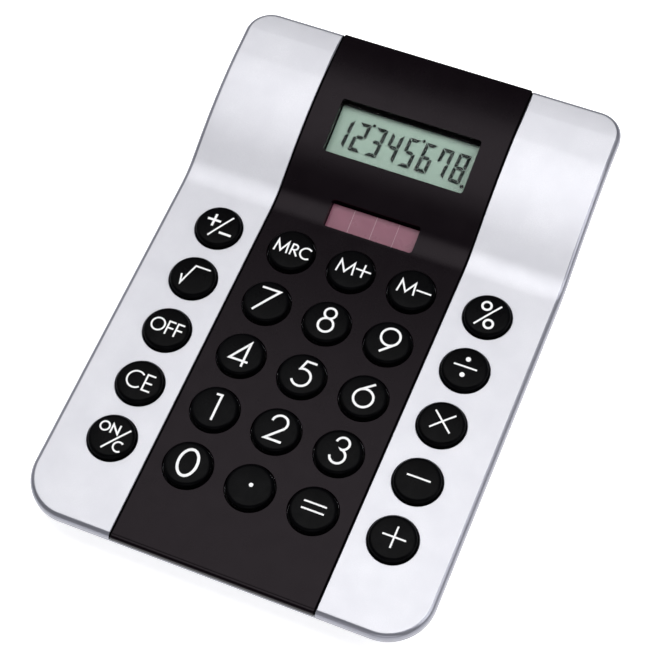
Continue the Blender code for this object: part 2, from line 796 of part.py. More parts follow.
def board_holes(name, deck, radius):
    bm = bmesh.new()
    for x in (-BOARD_SCREW_X, BOARD_SCREW_X):
        for y in (-BOARD_SCREW_Y, BOARD_SCREW_Y):
            low = -PCB_TOP - PCB_THICKNESS - THROUGH
            add_cylinder(bm, (x, y), radius, low, -DOME_TOP + THROUGH, SCREW_SEGMENTS)
    return new_object(name, bm, deck)


def make_main_board(deck):
    bm = bmesh.new()
    low = (-PCB_HALF_WIDTH, PCB_FRONT, -PCB_TOP - PCB_THICKNESS)
    add_box(bm, low, (PCB_HALF_WIDTH, PCB_REAR, -PCB_TOP))
    board = new_object("main_board", bm, deck)
    cut(board, board_holes("board_holes", deck, BOARD_SHANK_RADIUS + SCREW_CLEARANCE))
    return board


def plate(name, frame, size, top, thickness):
    """Flat rectangular plate centred on a tilted frame."""
    bm = bmesh.new()
    half_x = size[0] / 2.0
    half_y = size[1] / 2.0
    add_box(bm, (-half_x, -half_y, -top - thickness), (half_x, half_y, -top))
    return new_object(name, bm, frame)


def make_display_holder(display):
    """Tray under the display panel, open in the middle."""
    floor_top = PANEL_TOP + PANEL_THICKNESS + GAP
    depth = floor_top + HOLDER_FLOOR - HOLDER_TOP
    holder = plate("display_holder", display, HOLDER_SIZE, HOLDER_TOP, depth)
    reach = HOLDER_TOP - THROUGH
    cut(holder, window_cutter("holder_pocket", display, PANEL_SIZE, GAP, -floor_top, -reach))
    cut(holder, window_cutter(
        "holder_opening", display, HOLDER_FLOOR_OPENING, 0.0, -floor_top - THROUGH, -reach))
    return holder


def make_display_ribbon(deck):
    """Flexible flat connector from under the display's front edge down to the board."""
    top = DISPLAY_Y - RIBBON_SETBACK
    foot = PCB_REAR - RIBBON_INSET
    start_z = deck_height(top) - RIBBON_DROP
    end_z = -PCB_TOP + GAP
    stations = []
    for t in spaced(0.0, 1.0, RIBBON_STEPS):
        ease = t * t * (3.0 - 2.0 * t)
        y = foot + (top - foot) * t
        z = end_z + (start_z - end_z) * ease
        stations.append((y, z, z + RIBBON_THICKNESS))
    bm = bmesh.new()
    add_slab(bm, stations, RIBBON_HALF_WIDTH)
    return new_object("display_ribbon", bm, deck)


def screw(name, deck, centre, seat, head, shank, segments):
    """Screw driven from below: head (radius, height) under the seat, shank (radius, length) above."""
    bm = bmesh.new()
    top = -seat - GAP
    profile = [
        (0.0, top + shank[1]), (shank[0], top + shank[1]), (shank[0], top),
        (head[0], top), (head[0], top - head[1]), (0.0, top - head[1]),
    ]
    add_turned(bm, profile, segments)
    return new_object(name, bm, deck, (centre[0], centre[1], 0.0))


def make_screws(deck):
    screws = []
    case_head = (CASE_HEAD_RADIUS, CASE_HEAD_HEIGHT)
    case_shank = (CASE_SHANK_RADIUS, CASE_SHANK_LENGTH)
    board_head = (BOARD_HEAD_RADIUS, BOARD_HEAD_HEIGHT)
    board_shank = (BOARD_SHANK_RADIUS, BOARD_SHANK_LENGTH)
    board_seat = PCB_TOP + PCB_THICKNESS
    for side_name, side in (("left", -1), ("right", 1)):
        for x, y, seat, row in CASE_SCREWS:
            name = f"case_screw_{row}_{side_name}"
            screws.append(screw(name, deck, (side * x, y), seat, case_head, case_shank, SCREW_SEGMENTS))
        for row, y in (("front", -BOARD_SCREW_Y), ("rear", BOARD_SCREW_Y)):
            name = f"board_screw_{row}_{side_name}"
            centre = (side * BOARD_SCREW_X, y)
            screws.append(screw(name, deck, centre, board_seat, board_head, board_shank, SCREW_SEGMENTS))
    return screws


def make_chip(deck):
    """Resin drop over the bare chip, on the board's underside."""
    top = -PCB_TOP - PCB_THICKNESS - GAP
    profile = [(0.0, top), (BLOB_RADIUS, top)]
    for share, fall in ((0.85, 0.55), (0.55, 0.9)):
        profile.append((BLOB_RADIUS * share, top - BLOB_HEIGHT * fall))
    profile.append((0.0, top - BLOB_HEIGHT))
    bm = bmesh.new()
    add_turned(bm, profile, DOME_SEGMENTS)
    return new_object("chip_resin", bm, deck, (0.0, CHIP_Y, 0.0))


def make_capacitor(deck):
    top = -PCB_TOP - PCB_THICKNESS - GAP
    bm = bmesh.new()
    add_cylinder(bm, (0.0, 0.0), CAPACITOR_RADIUS, top - CAPACITOR_LENGTH, top, SCREW_SEGMENTS)
    return new_object("capacitor", bm, deck, (CAPACITOR_X, BOARD_PARTS_Y, 0.0))


def make_resistor(deck):
    bm = bmesh.new()
    half = RESISTOR_LENGTH / 2.0
    add_cylinder(bm, (0.0, 0.0), RESISTOR_RADIUS, -half, half, SCREW_SEGMENTS)
    z = -PCB_TOP - PCB_THICKNESS - GAP - RESISTOR_RADIUS
    resistor = new_object("resistor", bm, deck, (RESISTOR_X, BOARD_PARTS_Y, z))
    resistor.rotation_euler = (0.0, math.pi / 2.0, 0.0)
    return resistor


def make_button_cell():
    _, _, top = door_levels()
    low = top + GAP
    high = low + CELL_HEIGHT
    cap = CELL_RADIUS - CELL_STEP
    profile = [
        (0.0, high), (cap, high), (cap, high - CELL_RIM),
        (CELL_RADIUS, high - CELL_RIM), (CELL_RADIUS, low), (0.0, low),
    ]
    bm = bmesh.new()
    add_turned(bm, profile, CELL_SEGMENTS)
    return new_object("button_cell", bm, None, (0.0, CELL_Y, 0.0))


def make_contacts():
    """Positive leaf at the cell's side, negative leaf above it; both rise out of the block."""
    _, _, door_top = door_levels()
    cell_low = door_top + GAP
    side = CELL_RADIUS + GAP
    bm = bmesh.new()
    low = (side, CELL_Y - CONTACT_HALF_WIDTH, cell_low + GAP)
    add_box(bm, low, (side + CONTACT_THICKNESS, CELL_Y + CONTACT_HALF_WIDTH, CONTACT_TOP))
    positive = new_object("contact_positive", bm)
    leaf = cell_low + CELL_HEIGHT + GAP
    bend = LEAF_FRONT + CONTACT_THICKNESS
    stations = [
        (LEAF_FRONT, leaf, CONTACT_TOP), (bend, leaf, CONTACT_TOP),
        (bend + HOOK_STEP, leaf, leaf + CONTACT_THICKNESS),
        (LEAF_REAR, leaf, leaf + CONTACT_THICKNESS),
    ]
    bm = bmesh.new()
    add_slab(bm, stations, CONTACT_HALF_WIDTH)
    negative = new_object("contact_negative", bm)
    return [positive, negative]


def make_feet():
    feet = []
    profile = [
        (0.0, FOOT_THICKNESS), (FOOT_RADIUS, FOOT_THICKNESS), (FOOT_RADIUS, FOOT_BEVEL),
        (FOOT_RADIUS - FOOT_BEVEL, 0.0), (0.0, 0.0),
    ]
    for name, x, y in foot_places():
        bm = bmesh.new()
        add_turned(bm, profile, FOOT_SEGMENTS)
        feet.append(new_object(name, bm, None, (x, y, 0.0)))
    return feet


def curve_point(handles, t):
    """Point at t on the cubic Bezier curve through four handles."""
    a, b, c, d = handles
    s = 1.0 - t
    weights = (s ** 3, 3.0 * s * s * t, 3.0 * s * t * t, t ** 3)
    return [sum(w * p[k] for w, p in zip(weights, (a, b, c, d))) for k in range(3)]


def make_lead(name, handles, parent):
    """Insulated wire along a smooth curve."""
    curve = bpy.data.curves.new(name, "CURVE")
    curve.dimensions = "3D"
    curve.bevel_depth = LEAD_RADIUS
    curve.bevel_resolution = 2
    curve.use_fill_caps = True
    spline = curve.splines.new("POLY")
    spline.points.add(LEAD_POINTS - 1)
    for i in range(LEAD_POINTS):
        x, y, z = curve_point(handles, i / (LEAD_POINTS - 1))
        spline.points[i].co = (x, y, z, 1.0)
    lead = bpy.data.objects.new(name, curve)
    bpy.context.scene.collection.objects.link(lead)
    lead.parent = parent
    return lead


def make_solar_leads(deck):
    """Two wires from the solar cell's ends down to the board."""
    leads = []
    under_cell = deck_height(SOLAR_Y) - LENS_TOP - SOLAR_THICKNESS - SOLAR_LEAD_DROP
    for name, side in (("solar_lead_black", -1), ("solar_lead_red", 1)):
        start = (side * SOLAR_LEAD_START, SOLAR_Y, under_cell)
        end = (side * SOLAR_LEAD_END, SOLAR_Y, -PCB_TOP + GAP + LEAD_RADIUS)
        reach = SOLAR_LEAD_REACH
        handles = (
            start, (start[0] + side * reach, SOLAR_Y, under_cell),
            (end[0] - side * reach, SOLAR_Y, end[2]), end,
        )
        leads.append(make_lead(name, handles, deck))
    return leads


def make_battery_leads():
    """Two wires from the battery contacts forward to the board's underside, in the world frame."""
    leads = []
    start_z = CONTACT_TOP + GAP + LEAD_RADIUS
    end_y, end_z = BATTERY_LEAD_END
    reach = BATTERY_LEAD_REACH
    for name, x, y, end_x in (
        ("battery_lead_black", 0.0, LEAF_FRONT + 0.1 * MM, -6.0 * MM),
        ("battery_lead_red", CELL_RADIUS + 0.5 * MM, CELL_Y, 9.0 * MM),
    ):
        handles = (
            (x, y, start_z), (x, y - reach, start_z + MM),
            (end_x, end_y + reach, end_z - 0.5 * MM), (end_x, end_y, end_z),
        )
        leads.append(make_lead(name, handles, None))
    return leads


# ---------------------------------------------------------------- assembly

def make_deck():
    """Empty that carries the deck frame, placed so that the model's box is centred on Z."""
    deck = bpy.data.objects.new("deck", None)
    bpy.context.scene.collection.objects.link(deck)
    front_reach = FRONT_Y * math.cos(TILT) + EDGE_RADIUS * math.sin(TILT)
    rear_reach = REAR_Y * math.cos(TILT) - (CREST_HEIGHT - TOP_SIDE) * math.sin(TILT)
    base_drop = FRONT_Y * math.sin(TILT) - FRONT_DEPTH * math.cos(TILT)
    deck.location = (0.0, -(front_reach + rear_reach) / 2.0, FOOT_HEIGHT - base_drop)
    deck.rotation_euler = (TILT, 0.0, 0.0)
    return deck


def main():
    for old in list(bpy.data.objects):
        bpy.data.objects.remove(old)
    deck = make_deck()
    display = tilted_empty("display_frame", deck, DISPLAY_Y)
    solar = tilted_empty("solar_frame", deck, SOLAR_Y)

    keys = make_keys(deck)
    top_housing = make_top_housing(deck, display, solar)
    strip = make_fascia_strip(deck, display, solar)
    bottom_housing = make_bottom_housing(deck)
    door = make_battery_door()
    lens = plate("display_lens", display, LENS_SIZE, LENS_TOP, LENS_THICKNESS)
    panel = plate("display_panel", display, PANEL_SIZE, PANEL_TOP, PANEL_THICKNESS)
    cell = plate("solar_cell", solar, SOLAR_CELL, LENS_TOP, SOLAR_THICKNESS)
    holder = make_display_holder(display)
    ribbon = make_display_ribbon(deck)
    mat = make_key_mat(deck)
    board = make_main_board(deck)
    screws = make_screws(deck)
    leads = make_solar_leads(deck) + make_battery_leads()
    red_leads = [lead for lead in leads if lead.name.endswith("red")]
    black_leads = [lead for lead in leads if lead.name.endswith("black")]
    metal = screws + make_contacts() + [make_button_cell(), make_capacitor(deck)]

    paint([top_housing, bottom_housing, door], "silver_paint", (0.72, 0.72, 0.76), 0.38, 0.6)
    paint([strip], "dark_strip", (0.022, 0.018, 0.020), 0.4)
    paint(keys, "black_key", (0.008, 0.008, 0.009), 0.3)
    paint([lens], "clear_lens", (0.9, 0.95, 0.92), 0.05, 0.0, 0.35)
    paint([panel], "display_glass", (0.45, 0.57, 0.46), 0.25)
    paint([cell], "solar_glass", (0.25, 0.12, 0.16), 0.2)
    paint([holder, make_chip(deck)], "black_plastic", (0.02, 0.02, 0.02), 0.6)
    paint([ribbon], "amber_film", (0.5, 0.25, 0.06), 0.4)
    paint([mat], "grey_rubber", (0.5, 0.5, 0.5), 0.8)
    paint([board], "green_board", (0.03, 0.2, 0.07), 0.5)
    paint(metal, "steel", (0.6, 0.6, 0.58), 0.3, 1.0)
    paint([make_resistor(deck)], "tan_body", (0.6, 0.45, 0.25), 0.5)
    paint(red_leads, "red_wire", (0.5, 0.02, 0.02), 0.5)
    paint(black_leads, "black_wire", (0.02, 0.02, 0.02), 0.5)
    paint(make_feet(), "black_rubber", (0.03, 0.03, 0.03), 0.85)


main()
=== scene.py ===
"""Looks of the pocket calculator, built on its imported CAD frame.

Most pieces are built in the deck frame: X to the right, Y towards the display, Z out of the
key deck, with its origin on the deck's surface at the middle key. Lengths are in metres.
"""
import json
import math

import bmesh
import bpy
from mathutils import Matrix, Vector


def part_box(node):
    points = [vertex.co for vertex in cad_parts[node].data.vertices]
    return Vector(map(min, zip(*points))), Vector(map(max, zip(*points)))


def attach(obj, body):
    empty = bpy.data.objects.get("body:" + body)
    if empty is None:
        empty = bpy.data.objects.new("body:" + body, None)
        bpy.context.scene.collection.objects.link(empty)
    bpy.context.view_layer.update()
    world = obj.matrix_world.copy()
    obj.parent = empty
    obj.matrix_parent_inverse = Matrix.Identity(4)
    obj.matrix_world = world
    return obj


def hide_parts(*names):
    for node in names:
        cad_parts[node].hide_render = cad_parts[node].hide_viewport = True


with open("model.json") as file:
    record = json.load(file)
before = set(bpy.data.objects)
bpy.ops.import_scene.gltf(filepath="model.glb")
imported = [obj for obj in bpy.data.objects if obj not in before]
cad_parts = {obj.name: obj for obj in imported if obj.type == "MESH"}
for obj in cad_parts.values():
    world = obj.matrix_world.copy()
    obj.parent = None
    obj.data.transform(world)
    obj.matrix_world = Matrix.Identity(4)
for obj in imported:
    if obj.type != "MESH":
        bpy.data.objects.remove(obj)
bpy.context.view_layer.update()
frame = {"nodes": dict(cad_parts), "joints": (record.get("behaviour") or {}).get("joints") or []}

MM = 0.001
GAP = 0.3 * MM

# Side profile of the face: flat deck, hollow bend, ramp, round crest
BEND_START = 42.0 * MM
BEND_RADIUS = 20.0 * MM
RAMP = math.radians(22.0)
CREST_END = 92.0 * MM
CREST_RADIUS = 100.0 * MM
BEND_END = BEND_START + BEND_RADIUS * math.sin(RAMP)
BEND_HEIGHT = BEND_RADIUS * (1.0 - math.cos(RAMP))
CREST_START = CREST_END - CREST_RADIUS * math.sin(RAMP)
CREST_RISE = CREST_RADIUS * (1.0 - math.cos(RAMP))
CREST_HEIGHT = BEND_HEIGHT + (CREST_START - BEND_END) * math.tan(RAMP) + CREST_RISE

# Case
FRONT_CORNER = 12.0 * MM
REAR_CORNER = 7.0 * MM
LEAST_CORNER = 4.0 * MM
EDGE_RADIUS = 1.5 * MM
TOP_WALL = 2.2 * MM
TOP_SIDE = 3.0 * MM
STRIP_THICKNESS = 0.8 * MM
CHANNEL_DEPTH = STRIP_THICKNESS + GAP
STRIP_HOOK_DROP = 1.6 * MM
STRIP_END_RADIUS = 0.7 * MM
DISPLAY_Y = 68.2 * MM
SOLAR_Y = 46.6 * MM

# Keys
KEY_RISE = 1.8 * MM
KEY_RADIUS = 5.9 * MM
KEY_HOLE = KEY_RADIUS + 0.35 * MM


# ---------------------------------------------------------------- frames of reference

def deck_matrix():
    """Deck frame in the world, from the middle key's joint and the top of its crown."""
    joint = next(j for j in frame["joints"] if j["child"] == "key_5")
    out = -Vector(joint["axis"]).normalized()
    right = Vector((1.0, 0.0, 0.0))
    rear = out.cross(right)
    points = [v.co for v in frame["nodes"]["key_5"].data.vertices]
    crown = max(points, key=lambda p: p.dot(out))
    matrix = Matrix((right, rear, out)).transposed().to_4x4()
    matrix.translation = crown - out * KEY_RISE
    return matrix


DECK = deck_matrix()
WORLD = Matrix.Identity(4)


def node_box(node, place=DECK):
    """Lowest and highest corner of a CAD node in the frame of a place."""
    inverse = place.inverted()
    points = [inverse @ v.co for v in frame["nodes"][node].data.vertices]
    low = Vector([min(p[k] for p in points) for k in range(3)])
    high = Vector([max(p[k] for p in points) for k in range(3)])
    return low, high


def node_centre(node, place=DECK):
    """Middle of a CAD node's box in the frame of a place."""
    low, high = node_box(node, place)
    return (low + high) / 2.0


CASE_LOW, CASE_HIGH = node_box("top_housing")
HALF_WIDTH = CASE_HIGH.x
FRONT_Y = CASE_LOW.y
REAR_Y = CASE_HIGH.y
STRIP_HALF_WIDTH = node_box("fascia_strip")[1].x


def deck_height(y):
    """Height of the face above the key deck."""
    if y <= BEND_START:
        return 0.0
    if y <= BEND_END:
        return BEND_RADIUS - math.sqrt(BEND_RADIUS ** 2 - (y - BEND_START) ** 2)
    if y <= CREST_START:
        return BEND_HEIGHT + (y - BEND_END) * math.tan(RAMP)
    if y <= CREST_END:
        return CREST_HEIGHT - CREST_RADIUS + math.sqrt(CREST_RADIUS ** 2 - (CREST_END - y) ** 2)
    return CREST_HEIGHT


def deck_slope(y):
    """Angle of the face against the key deck."""
    if y <= BEND_END:
        return math.asin(max(0.0, y - BEND_START) / BEND_RADIUS)
    if y <= CREST_START:
        return RAMP
    return math.asin(max(0.0, CREST_END - y) / CREST_RADIUS)


def base_height(y):
    """Height of the level underside in the deck frame."""
    point = DECK @ Vector((0.0, y, 0.0))
    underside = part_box("battery_door")[0].z
    slope = math.asin(DECK[2][1])
    return (underside - point.z) / math.cos(slope)


def tilted(y):
    """Frame on the face at y, turned to the face's local slope."""
    place = Matrix.Translation((0.0, y, deck_height(y)))
    return DECK @ place @ Matrix.Rotation(deck_slope(y), 4, "X")


DISPLAY = tilted(DISPLAY_Y)
SOLAR = tilted(SOLAR_Y)


# ---------------------------------------------------------------- mesh helpers

CREASE = math.radians(32.0)


def spaced(start, end, steps):
    """Values from start to end in equal steps, both included."""
    return [start + (end - start) * i / steps for i in range(steps + 1)]


def new_object(name, bm, place=DECK):
    """Object from a finished bmesh, standing in the frame of a place."""
    bmesh.ops.recalc_face_normals(bm, faces=bm.faces)
    mesh = bpy.data.meshes.new(name)
    bm.to_mesh(mesh)
    bm.free()
    obj = bpy.data.objects.new(name, mesh)
    bpy.context.scene.collection.objects.link(obj)
    obj.matrix_world = place
    return obj


def show(obj, body, look, stands_for=()):
    """Finish a piece: smooth shading, its material, the body it rides on and what it replaces."""
    obj.data.shade_smooth()
    obj.data.set_sharp_from_angle(angle=CREASE)
    obj.data.materials.clear()
    obj.data.materials.append(look)
    weighted = obj.modifiers.new("weighted_normals", "WEIGHTED_NORMAL")
    weighted.keep_sharp = True
    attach(obj, body)
    if stands_for:
        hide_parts(*stands_for)


def settle(obj):
    """Apply an object's modifiers to its mesh."""
    graph = bpy.context.evaluated_depsgraph_get()
    mesh = bpy.data.meshes.new_from_object(obj.evaluated_get(graph))
    obj.modifiers.clear()
    obj.data = mesh


def combine(target, others, operation):
    """Boolean of an object with each of the others, which are used up."""
    for other in others:
        modifier = target.modifiers.new(other.name, "BOOLEAN")
        modifier.object = other
        modifier.operation = operation
        modifier.solver = "EXACT"
    settle(target)
    for other in others:
        bpy.data.objects.remove(other)


def add_turned(bm, profile, segments, centre=(0.0, 0.0)):
    """Solid of revolution about a vertical axis; the profile starts and ends on the axis."""
    rings = []
    for radius, z in profile:
        if radius == 0.0:
            rings.append([bm.verts.new((centre[0], centre[1], z))])
            continue
        ring = []
        for i in range(segments):
            angle = 2.0 * math.pi * i / segments
            x = centre[0] + radius * math.cos(angle)
            y = centre[1] + radius * math.sin(angle)
            ring.append(bm.verts.new((x, y, z)))
        rings.append(ring)
    for upper, lower in zip(rings[:-1], rings[1:]):
        for i in range(segments):
            j = (i + 1) % segments
            if len(upper) == 1:
                bm.faces.new((upper[0], lower[i], lower[j]))
            elif len(lower) == 1:
                bm.faces.new((upper[i], lower[0], upper[j]))
            else:
                bm.faces.new((upper[i], lower[i], lower[j], upper[j]))


def add_prism(bm, outline, low, high):
    """Upright solid over a flat outline."""
    ends = [[bm.verts.new((x, y, z)) for x, y in outline] for z in (low, high)]
    count = len(outline)
    for i in range(count):
        j = (i + 1) % count
        bm.faces.new((ends[0][i], ends[0][j], ends[1][j], ends[1][i]))
    bm.faces.new(ends[0])
    bm.faces.new(ends[1])


def circle(centre, radius, segments):
    """Outline of a circle."""
    points = []
    for i in range(segments):
        angle = 2.0 * math.pi * i / segments
        points.append((centre[0] + radius * math.cos(angle), centre[1] + radius * math.sin(angle)))
    return points


def rounded_box(half_x, half_y, radius, steps=6, centre=(0.0, 0.0)):
    """Outline of a rectangle with round corners."""
    points = []
    corners = ((1, -1, -90.0), (1, 1, 0.0), (-1, 1, 90.0), (-1, -1, 180.0))
    for side_x, side_y, start in corners:
        x = centre[0] + side_x * (half_x - radius)
        y = centre[1] + side_y * (half_y - radius)
        for angle in spaced(math.radians(start), math.radians(start + 90.0), steps):
            points.append((x + radius * math.cos(angle), y + radius * math.sin(angle)))
    return points


def add_loft(bm, loops):
    """Closed solid through loops that have the same number of points."""
    rings = [[bm.verts.new(point) for point in loop] for loop in loops]
    count = len(rings[0])
    for a, b in zip(rings[:-1], rings[1:]):
        for i in range(count):
            j = (i + 1) % count
            bm.faces.new((a[i], a[j], b[j], b[i]))
    bm.faces.new(rings[0])
    bm.faces.new(rings[-1])


# ---------------------------------------------------------------- case shape

BEND_STEPS = 12
CREST_STEPS = 20
CREST_LAST = 80.0 * MM
FRONT_CORNER_STEPS = 28
REAR_CORNER_STEPS = 20


def wave_stations():
    """Distances along the case at which the face needs a line of vertices."""
    return spaced(BEND_START, BEND_END, BEND_STEPS) + spaced(CREST_START, CREST_LAST, CREST_STEPS)


def half_outline(inset):
    """Right half of the case's plan, front to rear, moved inwards by inset."""
    points = []
    side = HALF_WIDTH - inset
    front_radius = max(FRONT_CORNER - inset, LEAST_CORNER)
    rear_radius = max(REAR_CORNER - inset, LEAST_CORNER)
    for angle in spaced(-math.pi / 2.0, 0.0, FRONT_CORNER_STEPS):
        x = side - front_radius + front_radius * math.cos(angle)
        y = FRONT_Y + inset + front_radius + front_radius * math.sin(angle)
        points.append((x, y))
    for y in wave_stations():
        points.append((side, y))
    for angle in spaced(0.0, math.pi / 2.0, REAR_CORNER_STEPS):
        x = side - rear_radius + rear_radius * math.cos(angle)
        y = REAR_Y - inset - rear_radius + rear_radius * math.sin(angle)
        points.append((x, y))
    return points


def face_ring(inset, drop):
    """Half ring of points that follows the waved face from below."""
    return [(x, y, deck_height(y) - drop) for x, y in half_outline(inset)]


def base_ring(inset, rise):
    """Half ring of points that follows the level underside from above."""
    return [(x, y, base_height(y) + rise) for x, y in half_outline(inset)]


def ringed_solid(bm, half_rings):
    """Closed solid through half rings and their mirror images; strips across close its ends."""
    loops = []
    for ring in half_rings:
        right = [bm.verts.new(point) for point in ring]
        left = [bm.verts.new((-x, y, z)) for x, y, z in ring]
        loops.append((right, left))
    count = len(half_rings[0])
    for (right_a, left_a), (right_b, left_b) in zip(loops[:-1], loops[1:]):
        around_a = right_a + left_a[::-1]
        around_b = right_b + left_b[::-1]
        total = len(around_a)
        for i in range(total):
            j = (i + 1) % total
            bm.faces.new((around_a[i], around_a[j], around_b[j], around_b[i]))
    for right, left in (loops[0], loops[-1]):
        for i in range(count - 1):
            bm.faces.new((right[i], right[i + 1], left[i + 1], left[i]))


# ---------------------------------------------------------------- materials

NOISE_LOW = 0.3
NOISE_HIGH = 0.7
TONE_DETAIL = 3.0
GLOSS_DETAIL = 4.0
RELIEF_DETAIL = 2.0


class Look:
    """A Principled material whose grain, tone and gloss vary over the object's own space."""

    def __init__(self, name, colour, roughness, **fixed):
        self.material = bpy.data.materials.new(name)
        self.material.use_nodes = True
        self.tree = self.material.node_tree
        self.shader = self.tree.nodes["Principled BSDF"]
        self.colour = (*colour, 1.0)
        self.roughness = roughness
        self.set("Base Color", self.colour)
        self.set("Roughness", roughness)
        for socket, value in fixed.items():
            self.set(socket.replace("_", " "), value)
        self.place = self.tree.nodes.new("ShaderNodeTexCoord").outputs["Object"]

    def set(self, socket, value):
        self.shader.inputs[socket].default_value = value

    def noise(self, size, detail, stretch=None):
        """Noise with features of about that size, in metres."""
        node = self.tree.nodes.new("ShaderNodeTexNoise")
        node.inputs["Scale"].default_value = 1.0 / size
        node.inputs["Detail"].default_value = detail
        where = self.place
        if stretch:
            mapping = self.tree.nodes.new("ShaderNodeMapping")
            mapping.inputs["Scale"].default_value = stretch
            self.tree.links.new(where, mapping.inputs["Vector"])
            where = mapping.outputs["Vector"]
        self.tree.links.new(where, node.inputs["Vector"])
        return node.outputs["Fac"]

    def ramp(self, value, low, high):
        """Map a noise value to a range."""
        node = self.tree.nodes.new("ShaderNodeMapRange")
        node.inputs["From Min"].default_value = NOISE_LOW
        node.inputs["From Max"].default_value = NOISE_HIGH
        node.inputs["To Min"].default_value = low
        node.inputs["To Max"].default_value = high
        self.tree.links.new(value, node.inputs["Value"])
        return node.outputs["Result"]

    def tint(self, size, other):
        """Blend towards another colour, in patches of a size."""
        mix = self.tree.nodes.new("ShaderNodeMix")
        mix.data_type = "RGBA"
        source = self.shader.inputs["Base Color"]
        if source.links:
            self.tree.links.new(source.links[0].from_socket, mix.inputs["A"])
        else:
            mix.inputs["A"].default_value = self.colour
        mix.inputs["B"].default_value = (*other, 1.0)
        weight = self.ramp(self.noise(size, TONE_DETAIL), 0.0, 1.0)
        self.tree.links.new(weight, mix.inputs["Factor"])
        self.tree.links.new(mix.outputs["Result"], source)
        return self

    def tone(self, size, share):
        """Darken the colour by up to a share, in patches of a size."""
        return self.tint(size, [c * (1.0 - share) for c in self.colour[:3]])

    def gloss(self, size, spread):
        """Vary the roughness, as handling and wear do."""
        noise = self.noise(size, GLOSS_DETAIL)
        value = self.ramp(noise, self.roughness - spread, self.roughness + spread)
        self.tree.links.new(value, self.shader.inputs["Roughness"])
        return self

    def relief(self, size, depth, stretch=None):
        """Add a bump of a depth, in metres, with features of a size."""
        bump = self.tree.nodes.new("ShaderNodeBump")
        bump.inputs["Distance"].default_value = depth
        bump.inputs["Strength"].default_value = 1.0
        self.tree.links.new(self.noise(size, RELIEF_DETAIL, stretch), bump.inputs["Height"])
        self.tree.links.new(bump.outputs["Normal"], self.shader.inputs["Normal"])
        return self


